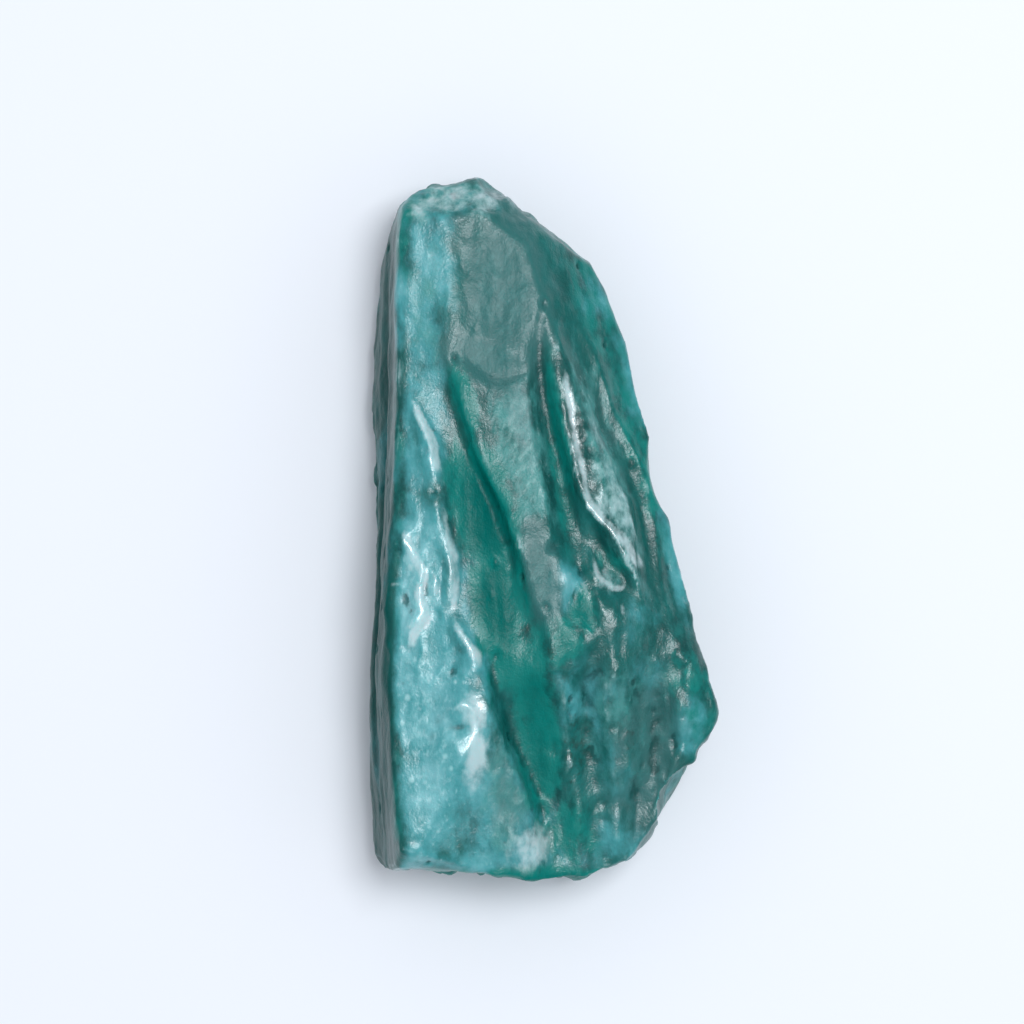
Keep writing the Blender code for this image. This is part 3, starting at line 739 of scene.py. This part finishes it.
@dataclass(frozen=True)
class Layer:
    """A colour that lies over the ones before it, where a state and a pattern of the skin let it."""

    colour: str
    skin: Skin | None
    grain: Grain
    low: float
    high: float
    share: float


@dataclass(frozen=True)
class SkinMap:
    """The beryl's node tree, with the socket of each state and of each pattern of the skin."""

    tree: Tree
    states: dict[Skin, Socket]
    grains: dict[Grain, Socket]


@dataclass(frozen=True)
class EtchedBeryl:
    """Natural bluish-green beryl as it broke and was etched, rubbed with a little oil.

    It gives the eye a milky teal body that light enters, deep clear green where the skin is clean,
    bluish veils where it is cracked inside, which on the left face also paint a soft sheen, a frosted
    bloom on the broken ridges, a wet gloss with painted glints on the worn crests and blisters, and
    painted shade in the recesses and down the left side.
    """

    body: str = "06625d"
    layers: tuple[Layer, ...] = (
        Layer("02403e", None, Grain.CLOUD, 0.40, 0.62, 0.6),
        Layer("2a8784", None, Grain.MOTTLE, 0.40, 0.72, 0.45),
        Layer("4ba3a8", Skin.HAZE, Grain.VEIL, 0.16, 0.48, 0.9),
        Layer("92ced3", Skin.HAZE, Grain.VEIL, 0.40, 0.70, 0.66),
        Layer("b4e0e2", Skin.HAZE, Grain.FLECK, 0.52, 0.74, 0.35),
        Layer("bfe6e6", Skin.HAZE, Grain.BUBBLE, 0.82, 0.98, 0.5),
        Layer("4e9894", Skin.FROST, Grain.MOTTLE, 0.20, 0.55, 0.85),
        Layer("acd0cc", Skin.FROST, Grain.STREAK, 0.42, 0.74, 0.5),
        Layer("21706b", Skin.FROST, Grain.VEIL, 0.54, 0.66, 0.5),
        Layer("7d9698", Skin.FROST, Grain.CLOUD, 0.50, 0.66, 0.35),
        Layer("38706e", Skin.SATIN, Grain.CLOUD, 0.10, 0.36, 0.9),
        Layer("5e9290", Skin.SATIN, Grain.STREAK, 0.44, 0.72, 0.4),
        Layer("00837a", Skin.CLEAR, Grain.MOTTLE, 0.12, 0.38, 0.96),
        Layer("006c65", Skin.CLEAR, Grain.CLOUD, 0.36, 0.66, 0.8),
        # Painted shade: a dark green laid where the surface lies in and down the left side.
        Layer("02403d", Skin.HOLLOW, Grain.MOTTLE, 0.10, 0.40, 0.65),
        # Painted glint: a near-white colour on the worn crests and blisters, over their real wear.
        Layer("d0e4e6", Skin.WORN, Grain.MOTTLE, 0.20, 0.60, 0.7),
        Layer("21433a", Skin.EARTH, Grain.FLECK, 0.38, 0.66, 0.6),
    )

    # How far a full state widens its patterns, and the share of it that shows its layers in full.
    edge: float = 0.32
    gate: float = 0.25
    fine_layers: float = 0.6

    # The stone: its roughness when plain and frosted, how much light goes through it when milky and
    # clear, its gloss when open and dull, and the light that enters it.
    ior: float = 1.577
    roughness: Pair = (0.36, 0.5)
    through: Pair = (0.04, 0.2)
    gloss: Pair = (0.5, 0.02)
    satin_dulls: float = 0.8
    frost_dulls: float = 0.5
    glow: float = 0.55
    glow_reach_mm: Triple = (0.4, 1.3, 1.2)
    tint: str = "10cdbe"
    density: float = 280.0

    # The oil: its weight as a film and as drops, where a drop starts and is full in its pattern, and
    # its roughness as a film and in a pool.
    oil_ior: float = 1.47
    oil_weight: Pair = (0.14, 0.45)
    drop_edge: Pair = (0.54, 0.66)
    oil_roughness: Pair = (0.24, 0.14)

    # The etch grain: how deep each pattern cuts, how strongly when plain and frosted, how much satin
    # softens it, and what is left of it where the skin is worn.
    etch_mm: tuple[tuple[Grain, float], ...] = (
        (Grain.MOTTLE, 0.07), (Grain.FLECK, 0.08), (Grain.DUST, 0.045),
    )
    etch_strength: Pair = (0.5, 0.75)
    satin_softens: float = 0.6
    worn_leaves: float = 0.35

    def material(self) -> bpy.types.Material:
        """Builds the material.

        Returns:
            The finished beryl.
        """
        material = bpy.data.materials.new("etched_beryl")
        material.use_nodes = True
        material.diffuse_color = srgb(self.body)
        tree = material.node_tree
        skin_map = self.read_skin(tree)
        colour = srgb(self.body)
        for layer in self.layers:
            colour = self.laid_over(skin_map, colour, layer)
        dull = self.dulled(skin_map)
        shine = {"Value": dull, "To Min": self.gloss[0], "To Max": self.gloss[1]}
        bumps = self.bumps(skin_map)
        values = {
            "Base Color": colour,
            "Roughness": self.by_state(skin_map, Skin.FROST, self.roughness),
            "IOR": self.ior,
            "Normal": bumps,
            "Subsurface Weight": self.glow,
            "Subsurface Radius": self.glow_reach_mm,
            "Subsurface Scale": MM,
            "Specular IOR Level": link_node(tree, "MapRange", shine),
            "Transmission Weight": self.by_state(skin_map, Skin.CLEAR, self.through),
            "Coat Weight": self.oil(skin_map, dull),
            "Coat Roughness": self.by_state(skin_map, Skin.WORN, self.oil_roughness),
            "Coat IOR": self.oil_ior,
            "Coat Normal": bumps,
        }
        fill_inputs(tree, tree.nodes["Principled BSDF"], values)
        body = {"Color": srgb(self.tint), "Density": self.density}
        volume = link_node(tree, "VolumeAbsorption", body)
        fill_inputs(tree, tree.nodes["Material Output"], {"Volume": volume})
        return material

    def read_skin(self, tree: Tree) -> SkinMap:
        """Reads the skin's states from the mesh, and adds its patterns.

        Args:
            tree: the material's node tree.

        Returns:
            The socket of each state and of each pattern.
        """
        states = {}
        for skin in Skin:
            kept = {"attribute_name": skin.value, "attribute_type": "GEOMETRY"}
            states[skin] = link_node(tree, "Attribute", {}, "Fac", **kept)
        place = link_node(tree, "TexCoord", {}, "Object")
        grains = {grain: self.speckle(tree, place, grain) for grain in Grain}
        return SkinMap(tree, states, grains)

    def speckle(self, tree: Tree, place: Socket, grain: Grain) -> Socket:
        """Adds a pattern of noise, or of scattered spots where it has no finer layers.

        Args:
            tree: the material's node tree.
            place: the socket with the place to read.
            grain: the pattern.

        Returns:
            The socket with the pattern, from 0 to 1.
        """
        size_mm, layers, stretch, turn = grain.value
        turned = {"Scale": (1.0, stretch, 1.0), "Rotation": (0.0, 0.0, math.radians(turn))}
        laid = link_node(tree, "Mapping", {"Vector": place, **turned}, vector_type="TEXTURE")
        size = {"Vector": laid, "Scale": 1 / (size_mm * MM)}
        if layers:
            return link_node(tree, "TexNoise", {**size, "Detail": layers, "Roughness": self.fine_layers})
        distance = link_node(tree, "TexVoronoi", size)
        return link_node(tree, "MapRange", {"Value": distance, "To Min": 1.0, "To Max": 0.0})

    def by_state(self, skin_map: SkinMap, skin: Skin, values: Pair) -> Socket:
        """The socket with a value that goes from the first to the second with a state of the skin."""
        share = {"Value": skin_map.states[skin], "To Min": values[0], "To Max": values[1]}
        return link_node(skin_map.tree, "MapRange", share)

    def most_of(self, tree: Tree, *shares: Socket) -> Socket:
        """Picks the largest of some shares.

        Args:
            tree: the material's node tree.
            shares: the sockets with the shares.

        Returns:
            The socket with the largest share, at most 1.
        """
        most = shares[0]
        for share in shares[1:]:
            most = link_node(tree, "Math", {0: most, 1: share}, operation="MAXIMUM", use_clamp=True)
        return most

    def dulled(self, skin_map: SkinMap) -> Socket:
        """Works out where the skin has little gloss: sheltered in a hollow, frosted or satin.

        Args:
            skin_map: the states and patterns of the skin.

        Returns:
            The socket with a share from 0 to 1.
        """
        satin = self.by_state(skin_map, Skin.SATIN, (0.0, self.satin_dulls))
        frosted = self.by_state(skin_map, Skin.FROST, (0.0, self.frost_dulls))
        clear, hollow = skin_map.states[Skin.CLEAR], skin_map.states[Skin.HOLLOW]
        return self.most_of(skin_map.tree, satin, frosted, clear, hollow)

    def oil(self, skin_map: SkinMap, dull: Socket) -> Socket:
        """Works out how much oil lies on the skin: a thin film, drops, and most where it is worn smooth.

        Args:
            skin_map: the states and patterns of the skin.
            dull: the socket that says where the skin has little gloss.

        Returns:
            The socket with the oil's weight.
        """
        tree, (low, high), (film, drop) = skin_map.tree, self.drop_edge, self.oil_weight
        span = {"From Min": low, "From Max": high, "To Min": film, "To Max": drop}
        drops = link_node(tree, "MapRange", {"Value": skin_map.grains[Grain.FLECK], **span})
        bare = link_node(tree, "Math", {0: 1.0, 1: dull}, operation="SUBTRACT")
        thin = link_node(tree, "Math", {0: drops, 1: bare}, operation="MULTIPLY")
        both = {0: thin, 1: skin_map.states[Skin.WORN]}
        return link_node(tree, "Math", both, operation="ADD", use_clamp=True)

    def laid_over(self, skin_map: SkinMap, below: Any, layer: Layer) -> Socket:
        """Lays one colour over those before it.

        Args:
            skin_map: the states and patterns of the skin.
            below: the colour so far, or its socket.
            layer: the colour, and where it shows.

        Returns:
            The socket with the new colour.
        """
        tree, pattern, lift, most = skin_map.tree, skin_map.grains[layer.grain], 0.0, layer.share
        if layer.skin is not None:
            state, lift = skin_map.states[layer.skin], self.edge
            most = link_node(tree, "MapRange", {"Value": state, "From Max": self.gate, "To Max": most})
            pattern = link_node(tree, "Math", {0: state, 1: lift, 2: pattern}, operation="MULTIPLY_ADD")
        span = {"From Min": layer.low + lift, "From Max": layer.high + lift, "To Max": most}
        shown = {"Value": pattern, **span}
        share = link_node(tree, "MapRange", shown, interpolation_type="SMOOTHSTEP")
        colours = {0: share, 6: below, 7: srgb(layer.colour)}
        return link_node(tree, "Mix", colours, 2, data_type="RGBA")

    def bumps(self, skin_map: SkinMap) -> Socket:
        """Adds the etch grain that is too fine for the mesh.

        It is strongest where the skin is frosted, and faint where it is worn or satin.

        Args:
            skin_map: the states and patterns of the skin.

        Returns:
            The socket with the surface direction.
        """
        tree = skin_map.tree
        frosted = self.by_state(skin_map, Skin.FROST, self.etch_strength)
        satin = self.by_state(skin_map, Skin.SATIN, (0.0, self.satin_softens))
        soft = self.most_of(tree, satin, skin_map.states[Skin.WORN])
        left = link_node(tree, "MapRange", {"Value": soft, "To Min": 1.0, "To Max": self.worn_leaves})
        strength = link_node(tree, "Math", {0: frosted, 1: left}, operation="MULTIPLY")
        below: dict[str, Socket] = {}
        for grain, depth_mm in self.etch_mm:
            cut = {"Height": skin_map.grains[grain], "Strength": strength, "Distance": depth_mm * MM}
            below = {"Normal": link_node(tree, "Bump", {**cut, **below})}
        return below["Normal"]


@dataclass
class EmeraldStone:
    """The stone: the broken prism's faces, its relief and its skin, with sizes in millimetres.

    A pair of numbers says where something starts to show and where it shows in full.
    """

    node: str
    faces: dict[str, Face] = field(default_factory=lambda: FACES)
    grooves: dict[str, Groove] = field(default_factory=lambda: GROOVES)
    crests: dict[str, Crest] = field(default_factory=lambda: CRESTS)
    lumps: dict[str, Lump] = field(default_factory=lambda: LUMPS)
    patches: tuple[Patch, ...] = PATCHES
    finish: EtchedBeryl = EtchedBeryl()

    # The block that is cut, the size of a small face for carving and for etching, how deep under a
    # side its relief fades out, how far smoothing goes, and how many degrees make a sharp edge.
    block: float = 80.0
    carving_face: float = 0.24
    etching_face: float = 0.2
    side_depth: float = 0.6
    softening: float = 0.5
    sharp_angle: float = 60.0

    # The unevenness all over, and how much of the fluting and the lumping the level front is spared.
    swell: Pattern = Pattern((5.0, 9.0, 5.0), 0.34, 3)
    fluting: Pattern = Pattern((1.5, 11.0, 1.5), 0.22, 4)
    lumping: Pattern = Pattern((1.6, 2.4, 1.6), 0.13, 5)
    wander: Pattern = Pattern((2.2, 3.4, 2.2), 0.22, 1)
    slip: Pattern = Pattern((2.2, 3.4, 2.2), 0.22, 2)
    etch: Pattern = Pattern((0.5, 0.9, 0.5), 0.035, 7)
    striation: Pattern = Pattern((0.6, 8.0, 0.6), 0.04, 8)
    level: Pair = (0.5, 0.8)
    fluting_spared: float = 0.65
    lumping_spared: float = 0.3

    # The breaks, the creases and the pits. A little of the small facets is everywhere.
    clods: Pattern = Pattern((2.3, 3.1, 2.3), 0.35, 6)
    clod_level: float = 0.4
    large_facets: Pattern = Pattern((2.4, 3.4, 2.4), 0.8, 14)
    small_facets: Pattern = Pattern((1.1, 1.7, 1.1), 0.34, 9)
    frost_facets: Pattern = Pattern((0.7, 1.3, 0.7), 0.17, 15)
    least_broken: float = 0.1
    least_frosted: float = 0.15
    creases: Pattern = Pattern((1.2, 2.8, 1.2), 0.17, 16)
    crease_slope: float = 3.2
    pits: Pattern = Pattern((1.9, 2.9, 1.9), 0.2, 10)
    pit_wall: Pair = (0.05, 0.16)

    # Where the states of the skin show: how high up is the front, how far across they change on the
    # rest, how straight a face looks along an axis, and how far its skin stands out, where it is worn
    # and given a painted glint, or lies in, where it is given painted shade.
    front_height: Pair = (3.5, 8.0)
    clear_across: Pair = (-10.0, -8.0)
    painted_shade_across: Pair = (9.4, 10.2)
    painted_shade_share: float = 0.85
    frosted_breaks: float = 0.8
    straightness: Pair = (0.78, 0.93)
    rubbed_glint_bulge: Pair = (0.05, 0.2)
    rubbed_glint_share: float = 0.7
    rubbing_spared: float = 0.8
    crest_height: Pair = (0.05, 0.28)
    painted_shade_depth: Pair = (0.03, 0.2)
    clearing: float = 0.85

    def build(self) -> bpy.types.Object:
        """Builds the whole stone.

        Returns:
            The stone, in place of the plain solid.
        """
        stone = self.cut_block()
        self.divide(stone, self.carving_face)
        self.reshape(stone, self.carved)
        self.smooth(stone)
        self.divide(stone, self.etching_face)
        self.reshape(stone, self.etched)
        self.smooth(stone)
        self.lay_flat(stone)
        self.mark_skin(stone)
        self.dress(stone)
        return stone

    def cut_block(self) -> bpy.types.Object:
        """Cuts a cube back to every flat face of the prism.

        Returns:
            The plain prism.
        """
        shape = bmesh.new()
        bmesh.ops.create_cube(shape, size=self.block)
        for face in self.faces.values():
            close_cut(shape, face.place, face.facing)
        bmesh.ops.recalc_face_normals(shape, faces=shape.faces)
        mesh = bpy.data.meshes.new("emerald_stone")
        shape.to_mesh(mesh)
        shape.free()
        return put_in_scene("emerald_stone", mesh)

    def divide(self, stone: bpy.types.Object, size: float) -> None:
        """Covers the stone with even small faces.

        Args:
            stone: the stone.
            size: the size of a face, in millimetres.
        """
        remesh = stone.modifiers.new("even faces", "REMESH")
        remesh.mode = "VOXEL"
        remesh.voxel_size = size
        bpy.context.view_layer.update()
        graph = bpy.context.evaluated_depsgraph_get()
        shaped = bpy.data.meshes.new_from_object(stone.evaluated_get(graph))
        stone.modifiers.clear()
        stone.data = shaped

    def points_and_normals(self, stone: bpy.types.Object) -> tuple[np.ndarray, np.ndarray]:
        """Reads the stone's points, and the way the surface looks at each.

        Args:
            stone: the stone.

        Returns:
            The points and the directions, one row each.
        """
        count = len(stone.data.vertices)
        points, normals = np.empty(count * 3), np.empty(count * 3)
        stone.data.vertices.foreach_get("co", points)
        stone.data.vertex_normals.foreach_get("vector", normals)
        return points.reshape(count, 3), normals.reshape(count, 3)

    def reshape(
        self, stone: bpy.types.Object, change: Callable[[np.ndarray, np.ndarray], np.ndarray]
    ) -> None:
        """Moves the stone's points.

        Args:
            stone: the stone.
            change: a method that takes the points and their directions, and gives the new points.
        """
        moved = change(*self.points_and_normals(stone))
        stone.data.vertices.foreach_set("co", moved.ravel())
        stone.data.update()

    def smooth(self, stone: bpy.types.Object) -> None:
        """Softens the stone's steps by moving each point towards its neighbours.

        Args:
            stone: the stone.
        """
        shape = bmesh.new()
        shape.from_mesh(stone.data)
        every_axis = {"use_axis_x": True, "use_axis_y": True, "use_axis_z": True}
        bmesh.ops.smooth_vert(shape, verts=shape.verts, factor=self.softening, **every_axis)
        shape.to_mesh(stone.data)
        shape.free()

    def closeness(self, points: np.ndarray, side: Side) -> np.ndarray:
        """How near each point is to a side: 1 on it, and 0 where its relief has faded out."""
        over = [face.over(points) for face in self.faces.values() if face.side is side]
        return np.clip(1 + np.max(over, axis=0) / self.side_depth, 0, 1)

    def strayed(self, points: np.ndarray) -> np.ndarray:
        """How far across and along each point strays, which breaks up every line and edge."""
        return np.stack([self.wander.height(points), self.slip.height(points)], axis=1)

    def relief(self, points: np.ndarray, side: Side) -> np.ndarray:
        """Adds up one side's grooves, crests and lumps.

        Args:
            points: places in millimetres.
            side: the side that carries them.

        Returns:
            The height over the side's plain faces at each point.
        """
        across, along, _ = side.value
        places = points[:, [across, along]] + self.strayed(points)
        depths = [-groove.height(places) for groove in self.grooves.values() if groove.side is side]
        # Where grooves meet, a sum of cubes lets the deeper one win, with a soft change between them.
        height = -np.cbrt(np.sum(np.power(depths, 3), axis=0))
        if side is Side.FRONT:
            height += sum(crest.height(places) for crest in self.crests.values())
        lumps = [lump.height(places) for lump in self.lumps.values() if lump.side is side]
        return height + sum(lumps)

    def carved(self, points: np.ndarray, normals: np.ndarray) -> np.ndarray:
        """Carves the relief, the unevenness and the chips.

        Args:
            points: the plain prism's points.
            normals: the way the surface looks at each point.

        Returns:
            The carved points.
        """
        level = fade(normals[:, 2], *self.level)
        height = self.swell.height(points)
        height += self.fluting.height(points) * (1 - self.fluting_spared * level)
        height += self.lumping.height(points) * (1 - self.lumping_spared * level)
        broken = strongest(BROKEN, points)
        height += broken * (self.clods.cells(points) ** 2 - self.clod_level) * self.clods.rise
        height += broken * self.large_facets.facets(points)
        carved = points + normals * height[:, None]
        for side in (Side.FRONT, Side.LEFT, Side.RIGHT, Side.BACK):
            rise = self.relief(points, side) * self.closeness(points, side)
            carved += rise[:, None] * np.array(side.value[2])
        for chip in CHIPS:
            carved = chip.scooped(carved)
        return carved

    def etched(self, points: np.ndarray, normals: np.ndarray) -> np.ndarray:
        """Etches the fine relief: striations, facets where the stone broke, creases and pits.

        Args:
            points: the carved stone's points.
            normals: the way the surface looks at each point.

        Returns:
            The etched points.
        """
        broken = strongest(BROKEN, points)
        frost = self.skin_share(points, Skin.FROST)
        height = self.etch.height(points) + self.striation.height(points)
        height += (self.least_broken + broken) * self.small_facets.facets(points)
        height += (self.least_frosted + frost) * self.frost_facets.facets(points)
        creases = np.clip(1 - self.crease_slope * np.abs(self.creases.ripples(points)), 0, 1)
        height += strongest(CREASED, points) * creases**2 * self.creases.rise
        height -= self.pits.rise * (1 - fade(self.pits.cells(points), *self.pit_wall))
        return points + normals * height[:, None]

    def lay_flat(self, stone: bpy.types.Object) -> None:
        """Cuts the resting flat, then brings the stone to metres and into the solid's own box.

        Args:
            stone: the stone.
        """
        low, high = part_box(self.node)
        shape = bmesh.new()
        shape.from_mesh(stone.data)
        close_cut(shape, (0.0, 0.0, 0.0), (0.0, 0.0, -1.0))
        bmesh.ops.recalc_face_normals(shape, faces=shape.faces)
        points = np.array([vert.co for vert in shape.verts])
        growth = Vector(np.array(high - low) / np.ptp(points, axis=0))
        bmesh.ops.translate(shape, verts=shape.verts, vec=-Vector(points.min(axis=0)))
        bmesh.ops.transform(shape, verts=shape.verts, matrix=Matrix.Diagonal(growth).to_4x4())
        bmesh.ops.translate(shape, verts=shape.verts, vec=low)
        shape.to_mesh(stone.data)
        shape.free()
        stone.data.shade_smooth()
        stone.data.set_sharp_from_angle(angle=math.radians(self.sharp_angle))

    def frontness(self, points: np.ndarray) -> np.ndarray:
        """How far each point belongs to the front: 0 low on the stone and on its left side."""
        return fade(points[:, 2], *self.front_height) * (1 - self.closeness(points, Side.LEFT))

    def skin_share(self, points: np.ndarray, skin: Skin) -> np.ndarray:
        """How far the skin is in one state.

        Args:
            points: places in millimetres.
            skin: the state.

        Returns:
            A share for each point: from the patches on the front, and from the rest's own rule.
        """
        front = self.frontness(points)
        x, y = (points[:, :2] + self.strayed(points)).T
        patches = [patch.strength(x, y) for patch in self.patches if patch.skin is skin]
        return np.max(patches, axis=0) * front + self.hidden_share(points, skin) * (1 - front)

    def hidden_share(self, points: np.ndarray, skin: Skin) -> np.ndarray | float:
        """How far the skin away from the front is in one state, by chance and by how it broke.

        Args:
            points: places in millimetres.
            skin: the state.

        Returns:
            A share for each point, or one for them all.
        """
        broken = strongest(BROKEN, points)
        if skin is Skin.FROST:
            return self.frosted_breaks * broken
        # Painted shade down the left side, darkest furthest left.
        if skin is Skin.HOLLOW:
            return self.painted_shade_share * fade(-points[:, 0], *self.painted_shade_across)
        if skin not in CHANCES:
            return 0.0
        pattern, limits = CHANCES[skin]
        chance = pattern.rise * fade(pattern.ripples(points), *limits)
        if skin is Skin.CLEAR:
            return chance * (1 - broken) * fade(points[:, 0], *self.clear_across)
        return chance * broken if skin is Skin.EARTH else chance

    def bulge(self, stone: bpy.types.Object, rounds: int = 14) -> np.ndarray:
        """How far each point stands out from its surroundings, and below 0 where it lies in them.

        Args:
            stone: the stone.
            rounds: how many neighbours away the surroundings reach.

        Returns:
            A height in millimetres for each point.
        """
        points, normals = self.points_and_normals(stone)
        ends = np.empty(len(stone.data.edges) * 2, dtype=np.int32)
        stone.data.edges.foreach_get("vertices", ends)
        first, second = ends.reshape(-1, 2).T
        near, far = np.concatenate([first, second]), np.concatenate([second, first])
        neighbours = np.bincount(near, minlength=len(points))
        soft = points
        for _ in range(rounds):
            sums = [np.bincount(near, axis[far], len(points)) for axis in soft.T]
            soft = (np.array(sums) / neighbours).T
        return ((points - soft) * normals).sum(axis=1) / MM

    def crested(self, points: np.ndarray) -> np.ndarray:
        """How far each point of the front lies on a raised edge, which is rubbed smooth.

        Args:
            points: places in millimetres.

        Returns:
            A share from 0 to 1 for each point.
        """
        # Raised edges carry a painted glint as well as their wear.
        places = points[:, :2] + self.strayed(points)
        heights = np.max([crest.height(places) for crest in self.crests.values()], axis=0)
        return fade(heights, *self.crest_height) * self.frontness(points)

    def mark_skin(self, stone: bpy.types.Object) -> None:
        """Marks each state of the skin on the mesh, as a point attribute from 0 to 1.

        Args:
            stone: the stone.
        """
        points, normals = self.points_and_normals(stone)
        bulge = self.bulge(stone)
        places = points / MM
        shares = {skin: self.skin_share(places, skin) for skin in Skin}
        straight = fade(np.abs(normals).max(axis=1), *self.straightness)
        clear, hollow = np.clip(shares[Skin.CLEAR], 0, 1), shares[Skin.HOLLOW]
        dull = np.clip(np.max([clear, hollow, shares[Skin.SATIN]], axis=0), 0, 1)
        # What stands out is worn and given a painted glint, except where the skin is dull or broken.
        rubbed = self.rubbed_glint_share * fade(bulge, *self.rubbed_glint_bulge) * straight * (1 - dull)
        rubbed *= 1 - self.rubbing_spared * strongest(BROKEN, places)
        worn = np.maximum(rubbed, self.crested(places))
        shares[Skin.WORN] = np.maximum(shares[Skin.WORN], worn)
        # Painted shade: points that lie in below their surroundings are darkened, less where the skin is
        # clear.
        recess_shade = fade(-bulge, *self.painted_shade_depth) * (1 - self.clearing * clear)
        shares[Skin.HOLLOW] = np.maximum(hollow, recess_shade)
        for skin, share in shares.items():
            layer = stone.data.attributes.new(skin.value, "FLOAT", "POINT")
            layer.data.foreach_set("value", share.astype(np.float32))

    def dress(self, stone: bpy.types.Object) -> None:
        """Gives the stone its finish and puts it in the solid's place.

        Args:
            stone: the stone.
        """
        stone.data.materials.clear()
        stone.data.materials.append(self.finish.material())
        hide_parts(self.node)
        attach(stone, "root")
        faces = len(stone.data.polygons)
        log.info("%s stands for %s with %d faces", stone.name, self.node, faces)


def strongest(bowls: tuple[Bowl, ...], points: np.ndarray) -> np.ndarray:
    """The strength of the bowl that tells most at each point."""
    return np.max([bowl.strength(points) for bowl in bowls], axis=0)


def close_cut(shape: bmesh.types.BMesh, place: Triple, facing: Triple) -> None:
    """Cuts a closed shape along a plane and closes the cut.

    Args:
        shape: the shape.
        place: a point on the plane.
        facing: the way the plane looks, towards what is dropped.
    """
    everything = shape.verts[:] + shape.edges[:] + shape.faces[:]
    plane = {"plane_co": place, "plane_no": facing, "dist": CUT_TOLERANCE}
    cut = bmesh.ops.bisect_plane(shape, geom=everything, clear_outer=True, **plane)
    rim = [item for item in cut["geom_cut"] if isinstance(item, bmesh.types.BMEdge)]
    bmesh.ops.edgenet_fill(shape, edges=rim)


def put_in_scene(name: str, data: Any) -> bpy.types.Object:
    """Adds an object to the scene.

    Args:
        name: the object's name.
        data: its mesh, light or camera.

    Returns:
        The object.
    """
    item = bpy.data.objects.new(name, data)
    bpy.context.scene.collection.objects.link(item)
    return item


@dataclass(frozen=True)
class PaperFloor:
    """Matt white card: an even, pale ground that takes a soft shadow."""

    colour: str = "e9ecf1"
    roughness: float = 0.9

    def material(self) -> bpy.types.Material:
        """Builds the material.

        Returns:
            The finished card.
        """
        material = bpy.data.materials.new("matt_card")
        material.use_nodes = True
        tree = material.node_tree
        values = {"Base Color": srgb(self.colour), "Roughness": self.roughness}
        fill_inputs(tree, tree.nodes["Principled BSDF"], values)
        return material


@dataclass(frozen=True)
class Softbox:
    """A soft square light that looks at the stone, with its place and size in metres."""

    name: str
    place: Triple
    size: float
    watts: float
    colour: str = "ffffff"

    def hang(self) -> None:
        """Adds the light."""
        light = bpy.data.lights.new(self.name, "AREA")
        light.size = self.size
        light.energy = self.watts
        light.color = srgb(self.colour)[:3]
        box = put_in_scene(self.name, light)
        box.location = self.place
        box.rotation_euler = (-Vector(self.place)).to_track_quat("-Z", "Y").to_euler()


@dataclass
class Studio:
    """The pale floor, the soft lights and the camera that looks straight down on the stone."""

    floor_size: float = 1.2
    camera_place: Triple = (-0.0020, 0.00125, 0.2867)
    lens_mm: float = 150.0
    sensor_mm: float = 36.0
    sky: str = "edf1f8"
    sky_strength: Pair = (0.24, 0.82)
    sky_band: Pair = (0.2, 0.7)
    sky_mirrored: float = 0.2
    lights: tuple[Softbox, ...] = (Softbox("window", (0.07, 0.05, 0.39), 0.11, 0.95, "f8fbff"),)

    def build(self) -> None:
        """Sets up the whole studio."""
        self.lay_floor()
        self.hang_sky()
        for light in self.lights:
            light.hang()
        self.place_camera()
        bpy.context.scene.view_settings.view_transform = "Standard"

    def lay_floor(self) -> None:
        """Lays the floor under the stone."""
        shape = bmesh.new()
        bmesh.ops.create_grid(shape, x_segments=1, y_segments=1, size=self.floor_size / 2)
        mesh = bpy.data.meshes.new("floor")
        shape.to_mesh(mesh)
        shape.free()
        mesh.materials.append(PaperFloor().material())
        put_in_scene("floor", mesh)

    def hang_sky(self) -> None:
        """Surrounds the scene with pale light, most from overhead, that glossy skin hardly mirrors."""
        world = bpy.data.worlds.new("sky")
        world.use_nodes = True
        tree = world.node_tree
        way = link_node(tree, "TexCoord", {}, "Generated")
        height = link_node(tree, "SeparateXYZ", {"Vector": way}, "Z")
        (low, high), (around, overhead) = self.sky_band, self.sky_strength
        band = {"From Min": low, "From Max": high, "To Min": around, "To Max": overhead}
        light = link_node(tree, "MapRange", {"Value": height, **band})
        mirrored = link_node(tree, "LightPath", {}, "Is Glossy Ray")
        kept = {"Value": mirrored, "To Min": 1.0, "To Max": self.sky_mirrored}
        share = link_node(tree, "MapRange", kept)
        strength = link_node(tree, "Math", {0: light, 1: share}, operation="MULTIPLY")
        fill_inputs(tree, tree.nodes["Background"], {"Color": srgb(self.sky), "Strength": strength})
        bpy.context.scene.world = world

    def place_camera(self) -> None:
        """Hangs the camera over the stone, with the stone's length up the picture."""
        camera = bpy.data.cameras.new("camera")
        camera.lens = self.lens_mm
        camera.sensor_width = self.sensor_mm
        holder = put_in_scene("camera", camera)
        holder.location = self.camera_place
        bpy.context.scene.camera = holder


def main() -> None:
    """Builds the stone and the studio."""
    logging.basicConfig(level=logging.INFO, format="%(name)s: %(message)s")
    EmeraldStone(node="rough_emerald").build()
    Studio().build()
    log.info("boxes written")


if __name__ == "__main__":
    main()
